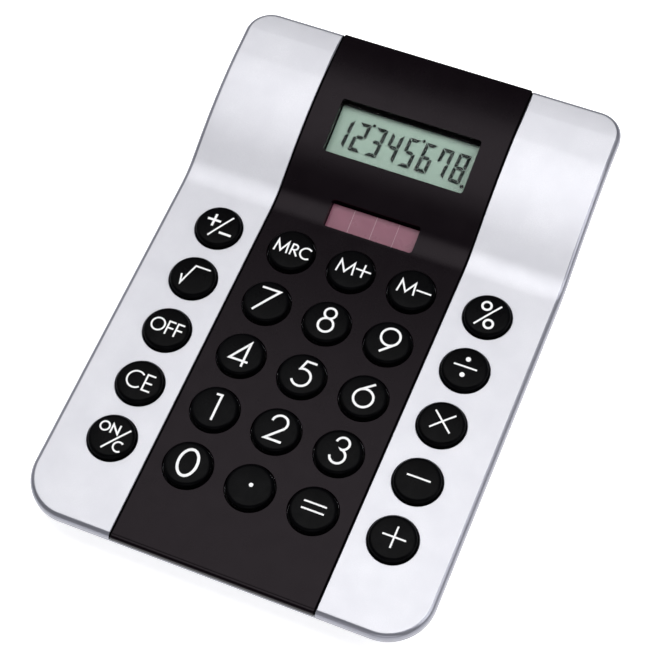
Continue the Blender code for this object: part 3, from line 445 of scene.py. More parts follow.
def make_looks():
    """Every material, by name; colours are linear."""
    looks = {}

    def look(name, colour, roughness, **fixed):
        looks[name] = Look(name, colour, roughness, **fixed)
        return looks[name]

    silver = look("silver", (0.545, 0.545, 0.58), 0.47, Metallic=0.42, Specular_IOR_Level=0.5)
    silver.tint(0.25 * MM, (0.61, 0.61, 0.64)).tone(9.0 * MM, 0.015)
    silver.gloss(2.0 * MM, 0.015).relief(0.25 * MM, 0.002 * MM)
    # The rim look is the silver made darker: painted shade for faces that do not face up, such as the edge
    # rounding, side walls and hole walls, and for the lower case and the battery door
    rim = look("rim", (0.26, 0.265, 0.305), 0.3, Metallic=0.7)
    rim.tint(0.25 * MM, (0.28, 0.28, 0.32)).gloss(2.0 * MM, 0.02).relief(4.0 * MM, 0.002 * MM)
    # Near-black with no sheen: painted shadow in the gaps beside the strip, and the black of the display
    # gasket and the solar bezel
    gap_shade_and_bezel = look("gap_shade_and_bezel", (0.001, 0.001, 0.001), 0.8, Specular_IOR_Level=0.0)
    gap_shade_and_bezel.tone(1.0 * MM, 0.2).gloss(1.0 * MM, 0.05).relief(0.3 * MM, 0.005 * MM)
    strip = look("strip", (0.0028, 0.0015, 0.0025), 0.24, Specular_IOR_Level=0.072)
    strip.set("Specular Tint", (1.0, 0.87, 0.95, 1.0))
    strip.tone(6.0 * MM, 0.2).gloss(5.0 * MM, 0.02).relief(0.3 * MM, 0.0015 * MM)
    key = look("key", (0.0014, 0.0014, 0.0018), 0.3, Specular_IOR_Level=0.03)
    key.tone(3.0 * MM, 0.3).gloss(2.5 * MM, 0.05).relief(0.25 * MM, 0.0015 * MM)
    ink = look("ink", (0.86, 0.86, 0.86), 0.45)
    ink.tone(0.4 * MM, 0.06).gloss(1.0 * MM, 0.08).relief(0.15 * MM, 0.004 * MM)
    lcd = look("lcd", (0.41, 0.57, 0.47), 0.35, Specular_IOR_Level=0.2)
    lcd.tone(8.0 * MM, 0.04).gloss(4.0 * MM, 0.05).relief(0.12 * MM, 0.002 * MM)
    segment = look("segment", (0.008, 0.018, 0.014), 0.4, Specular_IOR_Level=0.1)
    segment.tone(1.5 * MM, 0.2).gloss(1.0 * MM, 0.06).relief(0.2 * MM, 0.001 * MM)
    clear = look("clear", (0.02, 0.02, 0.02), 0.05, Alpha=0.04, IOR=1.5)
    clear.gloss(9.0 * MM, 0.02).relief(20.0 * MM, 0.004 * MM)
    solar = look("solar", (0.22, 0.08, 0.117), 0.3, Specular_IOR_Level=0.2)
    solar.tone(5.0 * MM, 0.1).gloss(3.0 * MM, 0.05).relief(0.2 * MM, 0.001 * MM)
    line = look("line", (0.33, 0.2, 0.24), 0.4)
    line.tone(1.0 * MM, 0.1).gloss(1.0 * MM, 0.06).relief(0.2 * MM, 0.001 * MM)
    base = look("base", (0.022, 0.022, 0.024), 0.5)
    base.tone(5.0 * MM, 0.2).gloss(4.0 * MM, 0.06).relief(0.6 * MM, 0.03 * MM)
    rubber = look("rubber", (0.018, 0.018, 0.019), 0.75)
    rubber.tone(2.0 * MM, 0.3).gloss(1.5 * MM, 0.08).relief(0.4 * MM, 0.03 * MM)
    mat = look("mat", (0.25, 0.25, 0.26), 0.6)
    mat.tone(3.0 * MM, 0.1).gloss(2.0 * MM, 0.06).relief(0.5 * MM, 0.02 * MM)
    board = look("board", (0.02, 0.14, 0.05), 0.4)
    board.tone(4.0 * MM, 0.3).gloss(2.0 * MM, 0.06).relief(0.8 * MM, 0.02 * MM)
    steel = look("steel", (0.55, 0.55, 0.56), 0.3, Metallic=1.0)
    steel.tone(1.0 * MM, 0.1).gloss(0.6 * MM, 0.08).relief(0.2 * MM, 0.005 * MM)
    amber = look("amber", (0.45, 0.2, 0.05), 0.35)
    amber.tone(2.0 * MM, 0.15).gloss(2.0 * MM, 0.05).relief(0.8 * MM, 0.005 * MM, stretch=(8.0, 1.0, 1.0))
    resin = look("resin", (0.01, 0.01, 0.011), 0.35)
    resin.tone(2.0 * MM, 0.3).gloss(1.5 * MM, 0.08).relief(1.2 * MM, 0.03 * MM)
    tan = look("tan", (0.55, 0.38, 0.2), 0.5)
    tan.tone(1.5 * MM, 0.15).gloss(1.0 * MM, 0.08).relief(0.3 * MM, 0.01 * MM)
    red = look("red", (0.5, 0.02, 0.02), 0.45)
    red.tone(1.5 * MM, 0.15).gloss(1.0 * MM, 0.08).relief(0.4 * MM, 0.01 * MM)
    black = look("black_wire", (0.012, 0.012, 0.012), 0.45)
    black.tone(1.5 * MM, 0.3).gloss(1.0 * MM, 0.08).relief(0.4 * MM, 0.01 * MM)
    floor = look("floor", (0.88, 0.88, 0.88), 0.7, Specular_IOR_Level=0.2, Emission_Strength=0.68)
    floor.set("Emission Color", (1.0, 1.0, 1.0, 1.0))
    floor.tone(60.0 * MM, 0.02).gloss(20.0 * MM, 0.05).relief(1.5 * MM, 0.02 * MM)
    return {name: made.material for name, made in looks.items()}


LOOKS = make_looks()


# ---------------------------------------------------------------- keys

KEY_NODES = sorted(n for n in frame["nodes"] if n.startswith("key_") and n != "key_mat")
KEY_ROUND = 0.9 * MM
CROWN_DROP = 0.15 * MM
CROWN_REACH = KEY_RADIUS - KEY_ROUND
FLANGE_TOP = TOP_WALL + GAP
FLANGE_THICKNESS = 0.6 * MM
FLANGE_RADIUS = 7.0 * MM
PLUNGER_LENGTH = 0.7 * MM
PLUNGER_RADIUS = 2.5 * MM
KEY_SEGMENTS = 72
HOLE_EASE = 0.3 * MM
HOLE_BELOW = 4.0 * MM
HOLE_ABOVE = 2.0 * MM


def crown_height(r):
    """Height of a key's slightly domed top above the deck."""
    return KEY_RISE - CROWN_DROP * (r / CROWN_REACH) ** 2


def key_place(node):
    """Frame on the deck's surface at the middle of a key."""
    centre = node_centre(node)
    return DECK @ Matrix.Translation((centre.x, centre.y, 0.0))


def key_profile():
    """Half section of a key: domed top, rounded edge, flange and plunger."""
    profile = [(r, crown_height(r)) for r in spaced(0.0, CROWN_REACH, 6)]
    for angle in spaced(0.0, math.pi / 2.0, 9)[1:]:
        radius = CROWN_REACH + KEY_ROUND * math.sin(angle)
        profile.append((radius, KEY_RISE - CROWN_DROP - KEY_ROUND * (1.0 - math.cos(angle))))
    flange = -FLANGE_TOP - FLANGE_THICKNESS
    end = flange - PLUNGER_LENGTH
    profile += [(KEY_RADIUS, -FLANGE_TOP), (FLANGE_RADIUS, -FLANGE_TOP), (FLANGE_RADIUS, flange)]
    profile += [(PLUNGER_RADIUS, flange), (PLUNGER_RADIUS, end), (0.0, end)]
    return profile


def make_keys():
    for node in KEY_NODES:
        bm = bmesh.new()
        add_turned(bm, key_profile(), KEY_SEGMENTS)
        cap = new_object("cap" + node[3:], bm, key_place(node))
        show(cap, node, LOOKS["key"], [node])


def key_holes(nodes):
    """One cutter for the key holes, slightly wider at the surface."""
    bm = bmesh.new()
    rim = KEY_HOLE + HOLE_EASE * 1.3
    profile = [
        (0.0, -HOLE_BELOW), (KEY_HOLE, -HOLE_BELOW), (KEY_HOLE, -HOLE_EASE),
        (KEY_HOLE + HOLE_EASE * 0.3, -HOLE_EASE * 0.3), (rim, HOLE_EASE * 0.4),
        (rim, HOLE_ABOVE), (0.0, HOLE_ABOVE),
    ]
    for node in nodes:
        centre = node_centre(node)
        add_turned(bm, profile, KEY_SEGMENTS, (centre.x, centre.y))
    return new_object("key_holes", bm)


# ---------------------------------------------------------------- top housing

BOX_CORNER = 0.3 * MM
CHANNEL_EASE = 0.15 * MM
CHANNEL_OVER = 2.0 * MM
CHANNEL_STEP = 0.1 * MM
EDGE_STEPS = 8
PARTING_EASE = 0.2 * MM
SIDE_WALL = 2.5 * MM
SKIRT_DROP = 4.0 * MM
SKIRT_INSET = 3.5 * MM
WELL_CORNER = 0.5 * MM
DISPLAY_WELL = (22.0 * MM, 9.4 * MM)
SOLAR_WELL = (14.0 * MM, 5.3 * MM)
WELL_REACH = 6.0 * MM
WALL_TOLERANCE = 0.04 * MM
FLAT_ENOUGH = 0.985


def cutter_box(low, high, place=WORLD):
    """Box-shaped cutter between two corners."""
    bm = bmesh.new()
    centre = ((low[0] + high[0]) / 2.0, (low[1] + high[1]) / 2.0)
    half_x = (high[0] - low[0]) / 2.0
    half_y = (high[1] - low[1]) / 2.0
    outline = rounded_box(half_x, half_y, min(BOX_CORNER, half_x / 2.0, half_y / 2.0), 3, centre)
    add_prism(bm, outline, low[2], high[2])
    return new_object("box_cutter", bm, place)


def window_cutter(place, half, radius, low, high):
    """Round-cornered block at a window, of a half width and half height."""
    bm = bmesh.new()
    add_prism(bm, rounded_box(half[0], half[1], radius), low, high)
    return new_object("window_cutter", bm, place)


def channel_cutter():
    """Space for the strip: a shallow channel with an eased upper edge."""
    inner = STRIP_HALF_WIDTH + GAP
    outer = inner + 2.0 * CHANNEL_EASE
    step = CHANNEL_DEPTH
    end_drop = STRIP_HOOK_DROP + GAP
    front = FRONT_Y + step
    rear = REAR_Y - step
    stations = [(FRONT_Y - CHANNEL_OVER, end_drop), (front, end_drop), (front + CHANNEL_STEP, step)]
    stations += [(y, step) for y in wave_stations()]
    stations += [(rear - CHANNEL_STEP, step), (rear, end_drop), (REAR_Y + CHANNEL_OVER, end_drop)]
    loops = []
    for y, drop in stations:
        z = deck_height(y)
        right = [
            (inner, y, z - drop), (inner, y, z - CHANNEL_EASE),
            (outer, y, z + CHANNEL_EASE), (outer, y, z + CHANNEL_OVER),
        ]
        left = [(-x, y, z) for x, y, z in reversed(right)]
        loops.append(right + left)
    bm = bmesh.new()
    add_loft(bm, loops)
    return new_object("channel_cutter", bm)


def make_top_housing():
    rings = []
    for angle in spaced(0.0, math.pi / 2.0, EDGE_STEPS):
        rings.append(face_ring(EDGE_RADIUS * (1.0 - math.sin(angle)), EDGE_RADIUS * (1.0 - math.cos(angle))))
    rings += [
        face_ring(0.0, TOP_SIDE - PARTING_EASE), face_ring(PARTING_EASE, TOP_SIDE),
        face_ring(SIDE_WALL, TOP_SIDE), face_ring(SIDE_WALL, SKIRT_DROP),
        face_ring(SKIRT_INSET, SKIRT_DROP), face_ring(SKIRT_INSET, TOP_WALL),
    ]
    bm = bmesh.new()
    ringed_solid(bm, rings)
    housing = new_object("upper_case", bm)
    cutters = [
        channel_cutter(), key_holes(KEY_NODES),
        window_cutter(DISPLAY, DISPLAY_WELL, WELL_CORNER, -WELL_REACH, WELL_REACH),
        window_cutter(SOLAR, SOLAR_WELL, WELL_CORNER, -WELL_REACH, WELL_REACH),
    ]
    combine(housing, cutters, "DIFFERENCE")
    show(housing, "case", LOOKS["silver"], ["top_housing"])
    housing.data.materials.append(LOOKS["rim"])
    housing.data.materials.append(LOOKS["gap_shade_and_bezel"])
    # Faces that do not face up take the darker rim look, painted shade on the silver; the channel walls
    # beside the strip take the near-black look, painted shadow in the gap
    wall = STRIP_HALF_WIDTH + GAP
    for face in housing.data.polygons:
        slope = deck_slope(face.center.y)
        upwards = Vector((0.0, -math.sin(slope), math.cos(slope)))
        if abs(abs(face.center.x) - wall) < WALL_TOLERANCE and abs(face.normal.x) > 0.5:
            face.material_index = 2
        elif face.normal.dot(upwards) < FLAT_ENOUGH:
            face.material_index = 1


# ---------------------------------------------------------------- strip

STRIP_SIDE_GAP = 0.15 * MM
STRIP_LIP = 0.22 * MM
STRIP_EASE = 0.2 * MM
HOOK_STEPS = 8
CREST_END_STEPS = 6
COLLAR_CORNER = 1.2 * MM
COLLAR_TOP = 0.4 * MM
COLLAR_BOTTOM = 1.7 * MM
DISPLAY_COLLAR = (20.4 * MM, 8.6 * MM)
SOLAR_COLLAR = (13.3 * MM, 4.8 * MM)
WINDOW_CORNER = 0.8 * MM
WINDOW_REACH = 4.0 * MM
DISPLAY_WINDOW = (19.4 * MM, 7.6 * MM)
SOLAR_WINDOW = (12.3 * MM, 3.8 * MM)
GROOVE_START = 0.85 * MM
GROOVE_END = 1.2 * MM
GROOVE_DEPTH = 0.25 * MM
GROOVE_REACH = 30.0 * MM


def hook_path(edge, height, side):
    """Outer and inner points of a hooked end, from its tip up to the face."""
    inner_radius = EDGE_RADIUS - STRIP_THICKNESS
    tip = height - STRIP_HOOK_DROP
    points = [((edge, tip), (edge + side * STRIP_THICKNESS, tip))]
    for angle in spaced(math.pi, math.pi / 2.0, HOOK_STEPS):
        cos_a = math.cos(angle) * side
        sin_a = math.sin(angle)
        outer_y = edge + side * STRIP_END_RADIUS + STRIP_END_RADIUS * cos_a
        outer_z = height - STRIP_END_RADIUS * (1.0 - sin_a)
        inner_y = edge + side * EDGE_RADIUS + inner_radius * cos_a
        inner_z = height - EDGE_RADIUS + inner_radius * sin_a
        points.append(((outer_y, outer_z), (inner_y, inner_z)))
    return points


def strip_path():
    """Outer and inner points of the strip's side view, from the front hook to the rear hook."""
    path = hook_path(FRONT_Y, 0.0, 1.0)
    for y in wave_stations() + spaced(CREST_LAST, CREST_END, CREST_END_STEPS)[1:]:
        slope = deck_slope(y)
        z = deck_height(y)
        inner = (y + STRIP_THICKNESS * math.sin(slope), z - STRIP_THICKNESS * math.cos(slope))
        path.append(((y, z), inner))
    return path + hook_path(REAR_Y, CREST_HEIGHT, -1.0)[::-1]


def strip_section(outer, inner):
    """Loop of points across the strip: an eased upper edge and a thin lip below it."""
    half = STRIP_HALF_WIDTH - STRIP_SIDE_GAP
    lip = STRIP_HALF_WIDTH + STRIP_LIP
    side = []
    for angle in spaced(0.0, math.pi / 2.0, 4):
        x = half - STRIP_EASE + STRIP_EASE * math.sin(angle)
        side.append((x, STRIP_EASE * (1.0 - math.cos(angle)) / STRIP_THICKNESS))
    side += [(half, 0.45), (lip, 0.5), (lip, 1.0)]
    right = []
    for x, share in side:
        y = outer[0] + (inner[0] - outer[0]) * share
        z = outer[1] + (inner[1] - outer[1]) * share
        right.append((x, y, z))
    left = [(-x, y, z) for x, y, z in reversed(right)]
    return right + left


def make_strip():
    bm = bmesh.new()
    add_loft(bm, [strip_section(outer, inner) for outer, inner in strip_path()])
    strip = new_object("centre_strip", bm)
    collars = [
        window_cutter(DISPLAY, DISPLAY_COLLAR, COLLAR_CORNER, -COLLAR_BOTTOM, -COLLAR_TOP),
        window_cutter(SOLAR, SOLAR_COLLAR, COLLAR_CORNER, -COLLAR_BOTTOM, -COLLAR_TOP),
    ]
    combine(strip, collars, "UNION")
    half = STRIP_HALF_WIDTH - STRIP_SIDE_GAP
    middle_keys = [n for n in KEY_NODES if abs(node_centre(n).x) < half]
    groove_low = (-GROOVE_REACH, FRONT_Y + GROOVE_START, -GROOVE_DEPTH)
    groove_high = (GROOVE_REACH, FRONT_Y + GROOVE_END, MM)
    cutters = [
        cutter_box(groove_low, groove_high, DECK), key_holes(middle_keys),
        window_cutter(DISPLAY, DISPLAY_WINDOW, WINDOW_CORNER, -WINDOW_REACH, WINDOW_REACH),
        window_cutter(SOLAR, SOLAR_WINDOW, WINDOW_CORNER, -WINDOW_REACH, WINDOW_REACH),
    ]
    combine(strip, cutters, "DIFFERENCE")
    show(strip, "case", LOOKS["strip"], ["fascia_strip"])
    # The strip's sides are painted near-black, painted shadow in the gap beside the strip
    strip.data.materials.append(LOOKS["gap_shade_and_bezel"])
    for face in strip.data.polygons:
        if abs(face.center.x) > half - 0.02 * MM:
            face.material_index = 1


# ---------------------------------------------------------------- key legends

# Widths of the numerals' and the letters' strokes, and every legend's shift, in millimetres
STROKE = 0.6
THIN = 0.46
BOLD = 0.65
INK_SHIFT = (0.24, -0.52)
# How far the ink stands out of the key, and how far it reaches in
INK_RISE = 0.03 * MM
INK_ROOT = 0.06 * MM
ARC_STEPS = 32
LONGEST_PIECE = 0.7
LEAST_MITRE = 0.3


def tail(centre, radius, end, turn):
    """Straight stroke from a ring's tangent point to an end point."""
    dx = end[0] - centre[0]
    dy = end[1] - centre[1]
    angle = math.atan2(dy, dx) + turn * math.acos(radius / math.hypot(dx, dy))
    start = (centre[0] + radius * math.cos(angle), centre[1] + radius * math.sin(angle))
    return (STROKE, start, end)


def ring(x, y, radius, width=STROKE):
    """Full circle."""
    return (width, (x, y, radius, radius, 0, 360))


def letter_m(left, width, low, high):
    """Wide capital M with pointed tops."""
    top = high - 0.4
    return (
        THIN, (left, low), (left + 0.09 * width, top), (left + 0.5 * width, low + 0.4),
        (left + 0.91 * width, top), (left + width, low),
    )


def letter_f(left):
    """Capital F."""
    return [(THIN, (left, -1.4), (left, 2.4), (left + 1.75, 2.4)), (THIN, (left, 0.6), (left + 1.65, 0.6))]


# Strokes on each key in millimetres from its centre: a width, then points or arcs. An arc is its
# centre, its two radii, and its first and last angle in degrees.
LEGENDS = {
    "key_0": [(0.72, (-0.1, 0.65, 2.4, 3.6, 0, 360))],
    "key_1": [(STROKE, (-1.1, 4.1), (0.35, 4.15), (0.35, -3.0))],
    "key_2": [(STROKE, (0.1, 2.35, 2.0, 2.0, 178, -47), (-2.0, -2.5), (2.35, -2.5))],
    "key_3": [(STROKE, (0.1, 2.7, 1.65, 1.65, 176, -84), (0.0, -0.8, 1.93, 1.93, 84, -171))],
    "key_4": [(STROKE, (1.3, -3.0), (1.3, 3.8), (-2.4, -1.45), (2.5, -1.45))],
    "key_5": [(STROKE, (2.5, 4.3), (-0.2, 4.3), (-1.0, 1.85), (0.0, -0.35, 2.4, 2.4, 112, -152))],
    "key_6": [ring(0.0, -0.15, 2.5), tail((0.0, -0.15), 2.5, (1.6, 4.35), 1)],
    "key_7": [(STROKE, (-2.6, 3.95), (2.3, 3.95), (-2.7, -3.0))],
    "key_8": [ring(0.0, 2.8, 1.5), ring(0.0, -0.65, 1.95)],
    "key_9": [ring(0.1, 1.9, 2.45), tail((0.1, 1.9), 2.45, (-1.3, -2.75), 1)],
    "key_point": [(1.1, (0.1, 0.75))],
    "key_equals": [(THIN, (-3.0, 1.8), (2.9, 1.8)), (THIN, (-3.0, -0.13), (2.9, -0.13))],
    "key_mrc": [
        letter_m(-4.5, 3.45, -1.05, 2.6),
        (THIN, (-0.1, -1.05), (-0.1, 2.2), (0.5, 2.2), (0.55, 1.4, 0.8, 0.8, 90, -90), (-0.1, 0.6)),
        (THIN, (0.5, 0.6), (1.8, -1.05)),
        (THIN, (3.95, 0.62, 1.6, 1.6, 48, 312)),
    ],
    "key_m_plus": [
        letter_m(-3.7, 4.4, -1.15, 2.75),
        (THIN, (1.05, 1.1), (5.1, 1.1)), (THIN, (3.08, 2.95), (3.08, -0.95)),
    ],
    "key_m_minus": [letter_m(-3.55, 4.4, -1.15, 2.75), (THIN, (1.2, 0.65), (5.15, 0.65))],
    "key_plus_minus": [
        (BOLD, (-3.65, 1.65), (0.05, 1.65)), (BOLD, (-1.8, 3.5), (-1.8, -0.2)),
        (THIN, (-1.72, -3.1), (2.75, 3.95)), (BOLD, (0.8, -1.42), (4.15, -1.42)),
    ],
    "key_root": [(THIN, (-3.1, 0.15), (-2.45, -2.35), (-0.5, 3.4), (3.55, 3.4))],
    "key_off": [ring(-2.55, 0.75, 1.75, THIN)] + letter_f(0.05) + letter_f(2.45),
    "key_ce": [
        (THIN, (-1.15, 0.6, 2.3, 2.3, 47, 313)),
        (THIN, (3.45, 2.75), (1.35, 2.75), (1.35, -1.6), (3.5, -1.6)), (THIN, (1.35, 0.5), (3.3, 0.5)),
    ],
    "key_on_c": [
        ring(-2.76, 2.38, 1.2, THIN), (THIN, (-0.85, 1.0), (-0.85, 3.45), (1.05, 1.25), (1.05, 3.7)),
        (THIN, (-1.34, -3.3), (3.9, 3.35)), (THIN, (2.7, -1.75, 1.3, 1.3, 50, 310)),
    ],
    "key_percent": [ring(-1.17, 2.71, 1.15), ring(0.9, -2.05, 1.15), (THIN, (-2.6, -3.15), (2.45, 3.8))],
    "key_divide": [(1.3, (-0.2, 2.95)), (THIN, (-3.2, 0.77), (2.85, 0.77)), (1.3, (-0.2, -1.55))],
    "key_multiply": [(THIN, (-2.75, 3.3), (2.55, -1.55)), (THIN, (-2.65, -1.55), (2.5, 3.45))],
    "key_subtract": [(THIN, (-3.1, 0.9), (3.0, 0.9))],
    "key_add": [(THIN, (-2.95, 0.7), (3.05, 0.7)), (THIN, (0.07, 3.6), (0.07, -2.2))],
}


def stroke_points(items):
    """Points along a stroke, close enough together to follow the key's dome."""
    corners = []
    for item in items:
        if len(item) == 2:
            corners.append(item)
            continue
        x, y, radius_x, radius_y, first, last = item
        for angle in spaced(math.radians(first), math.radians(last), ARC_STEPS):
            corners.append((x + radius_x * math.cos(angle), y + radius_y * math.sin(angle)))
    points = [corners[0]]
    for a, b in zip(corners[:-1], corners[1:]):
        pieces = max(1, math.ceil(math.dist(a, b) / LONGEST_PIECE))
        for t in spaced(0.0, 1.0, pieces)[1:]:
            points.append((a[0] + (b[0] - a[0]) * t, a[1] + (b[1] - a[1]) * t))
    return points


def stroke_sides(points, width, closed):
    """Left and right edge of a stroke, with mitred joints where it turns."""
    sides = []
    count = len(points)
    for i, (x, y) in enumerate(points):
        before = points[i - 1] if i > 0 or closed else points[i]
        after = points[(i + 1) % count] if i < count - 1 or closed else points[i]
        a = Vector((x - before[0], y - before[1]))
        b = Vector((after[0] - x, after[1] - y))
        a = a.normalized() if a.length > 0.0 else b.normalized()
        b = b.normalized() if b.length > 0.0 else a
        along = (a + b).normalized()
        across = Vector((-along.y, along.x))
        share = max(across.dot(Vector((-a.y, a.x))), LEAST_MITRE)
        reach_x = across.x * (width / 2.0 / share)
        reach_y = across.y * (width / 2.0 / share)
        sides.append(((x + reach_x, y + reach_y), (x - reach_x, y - reach_y)))
    return sides


def add_stroke(bm, width, items):
    """Solid ribbon of ink along a stroke, laid on the key's dome."""
    closed = len(items) == 1 and len(items[0]) == 6 and items[0][5] - items[0][4] == 360
    points = stroke_points(items)
    if closed:
        points = points[:-1]

    def lifted(point, offset):
        x = (point[0] + INK_SHIFT[0]) * MM
        y = (point[1] + INK_SHIFT[1]) * MM
        return (x, y, crown_height(math.hypot(x, y)) + offset)

    loops = []
    for left, right in stroke_sides(points, width, closed):
        edges = ((left, -INK_ROOT), (right, -INK_ROOT), (right, INK_RISE), (left, INK_RISE))
        loops.append([bm.verts.new(lifted(point, offset)) for point, offset in edges])
    pairs = list(zip(loops[:-1], loops[1:]))
    if closed:
        pairs.append((loops[-1], loops[0]))
    else:
        bm.faces.new(loops[0])
        bm.faces.new(loops[-1])
    for a, b in pairs:
        for i in range(4):
            j = (i + 1) % 4
            bm.faces.new((a[i], a[j], b[j], b[i]))


def make_legends():
    for node, strokes in LEGENDS.items():
        bm = bmesh.new()
        for width, *items in strokes:
            if len(items) == 1 and len(items[0]) == 2:
                x = (items[0][0] + INK_SHIFT[0]) * MM
                y = (items[0][1] + INK_SHIFT[1]) * MM
                top = crown_height(math.hypot(x, y)) + INK_RISE
                add_prism(bm, circle((x, y), width / 2.0 * MM, 24), top - INK_ROOT, top)
            else:
                add_stroke(bm, width, items)
        show(new_object("legend" + node[3:], bm, key_place(node)), node, LOOKS["ink"])


# ---------------------------------------------------------------- display and solar cell

DIGIT_PITCH = 4.655 * MM
DIGIT_HALF_WIDTH = 1.65 * MM
DIGIT_HALF_HEIGHT = 4.15 * MM
SEGMENT_WIDTH = 0.94 * MM
SEGMENT_GAP = 0.13 * MM
DIGIT_SLANT = math.tan(math.radians(4.5))
DIGITS_MIDDLE = (-0.47 * MM, -0.35 * MM)
APOSTROPHE = (2.22 * MM, 4.25 * MM)
APOSTROPHE_RADIUS = 0.47 * MM
POINT = (2.52 * MM, -4.45 * MM)
POINT_RADIUS = 0.52 * MM
SEGMENTS_OF = {
    "1": "bc", "2": "abged", "3": "abgcd", "4": "fgbc",
    "5": "afgcd", "6": "afgedc", "7": "fabc", "8": "abcdefg",
}
DISPLAY_TEXT = "12345678"
DIGITS_WITH_APOSTROPHE = (1, 4)
LINE_PITCH = 6.2 * MM
LINE_HALF = (0.07 * MM, 4.3 * MM)


def segment_outlines():
    """Outline of each of the seven segments around the digit's centre."""
    a, b, t, g = DIGIT_HALF_WIDTH, DIGIT_HALF_HEIGHT, SEGMENT_WIDTH, SEGMENT_GAP
    top = [(-a + g, b), (a - g, b), (a - t - g, b - t), (-a + t + g, b - t)]
    side = [(a, b - g), (a, g * 1.5), (a - t / 2.0, g), (a - t, t / 2.0 + g), (a - t, b - t - g)]
    middle = [
        (-a + t / 2.0 + g, 0.0), (-a + t + g, t / 2.0), (a - t - g, t / 2.0),
        (a - t / 2.0 - g, 0.0), (a - t - g, -t / 2.0), (-a + t + g, -t / 2.0),
    ]
    return {
        "a": top, "d": [(x, -y) for x, y in top], "g": middle,
        "b": side, "c": [(x, -y) for x, y in side],
        "f": [(-x, y) for x, y in side], "e": [(-x, -y) for x, y in side],
    }


def make_digits(bm, low, high):
    """Slanted digits with their apostrophes and a point after the last one."""
    outlines = segment_outlines()
    first_x = -(len(DISPLAY_TEXT) - 1) / 2.0 * DIGIT_PITCH + DIGITS_MIDDLE[0]

    def slanted(points, x):
        return [(x + px + py * DIGIT_SLANT, DIGITS_MIDDLE[1] + py) for px, py in points]

    for i, digit in enumerate(DISPLAY_TEXT):
        x = first_x + i * DIGIT_PITCH
        for name in SEGMENTS_OF[digit]:
            add_prism(bm, slanted(outlines[name], x), low, high)
        if i in DIGITS_WITH_APOSTROPHE:
            add_prism(bm, slanted(circle(APOSTROPHE, APOSTROPHE_RADIUS, 12), x), low, high)
    add_prism(bm, slanted(circle(POINT, POINT_RADIUS, 14), x), low, high)


def plate(name, place, half, radius, low, high, edge):
    """Flat plate of a half width and half height, with round corners and an eased edge."""
    bm = bmesh.new()
    inner = rounded_box(half[0] - edge, half[1] - edge, max(radius - edge, 0.05 * MM))
    outer = rounded_box(half[0], half[1], radius)
    loops = []
    for outline, z in ((inner, low), (outer, low + edge), (outer, high - edge), (inner, high)):
        loops.append([(x, y, z) for x, y in outline])
    add_loft(bm, loops)
    return new_object(name, bm, place)


def make_display():
    """Lens, dark gasket, liquid-crystal glass, its back and the digits between them."""
    lens = plate("lens", DISPLAY, (21.6 * MM, 9.0 * MM), 0.8 * MM, -2.6 * MM, -2.0 * MM, 0.12 * MM)
    show(lens, "case", LOOKS["clear"], ["display_lens"])
    gasket_half = (21.4 * MM, 8.9 * MM)
    # The gasket is black and its opening sits low, so the wider black band along the window's top is partly
    # the gasket and partly painted shadow under the window's rear wall
    gasket = plate("display_gasket", DISPLAY, gasket_half, 0.8 * MM, -2.97 * MM, -2.63 * MM, 0.05 * MM)
    opening = cutter_box((-19.3 * MM, -7.7 * MM, -5.0 * MM), (19.3 * MM, 6.8 * MM, 0.0), DISPLAY)
    combine(gasket, [opening], "DIFFERENCE")
    show(gasket, "case", LOOKS["gap_shade_and_bezel"])
    panel_half = (22.5 * MM, 9.8 * MM)
    glass = plate("display_glass", DISPLAY, panel_half, 0.3 * MM, -3.4 * MM, -3.0 * MM, 0.08 * MM)
    show(glass, "case", LOOKS["clear"])
    back = plate("display_back", DISPLAY, panel_half, 0.3 * MM, -4.6 * MM, -3.7 * MM, 0.08 * MM)
    show(back, "case", LOOKS["lcd"], ["display_panel"])
    bm = bmesh.new()
    make_digits(bm, -3.45 * MM, -3.41 * MM)
    show(new_object("display_digits", bm, DISPLAY), "case", LOOKS["segment"])


def make_solar_cell():
    """Cell plate, dark bezel and the lines between its four segments."""
    low = -3.1 * MM
    high = -2.0 * MM
    cell = plate("solar_plate", SOLAR, (13.6 * MM, 4.9 * MM), 0.3 * MM, low, high, 0.08 * MM)
    show(cell, "case", LOOKS["solar"], ["solar_cell"])
    bezel_half = (13.4 * MM, 4.7 * MM)
    bezel = plate("solar_bezel", SOLAR, bezel_half, 0.3 * MM, -1.94 * MM, -1.74 * MM, 0.05 * MM)
    opening = cutter_box((-12.2 * MM, -3.9 * MM, -3.0 * MM), (12.2 * MM, 3.3 * MM, 0.0), SOLAR)
    combine(bezel, [opening], "DIFFERENCE")
    show(bezel, "case", LOOKS["gap_shade_and_bezel"])
    bm = bmesh.new()
    for i in (-1, 0, 1):
        x = i * LINE_PITCH + 0.15 * MM
        outline = rounded_box(LINE_HALF[0], LINE_HALF[1], 0.03 * MM, 2, (x, 0.0))
        add_prism(bm, outline, high - 0.02 * MM, high + 0.015 * MM)
    show(new_object("solar_lines", bm, SOLAR), "case", LOOKS["line"])


# ---------------------------------------------------------------- bottom housing

CORNERS = ("front_left", "front_right", "rear_left", "rear_right")
CASE_SCREWS = tuple("case_screw_" + corner for corner in CORNERS)
BOARD_SCREWS = tuple("board_screw_" + corner for corner in CORNERS)
FEET = tuple("foot_" + corner for corner in CORNERS)

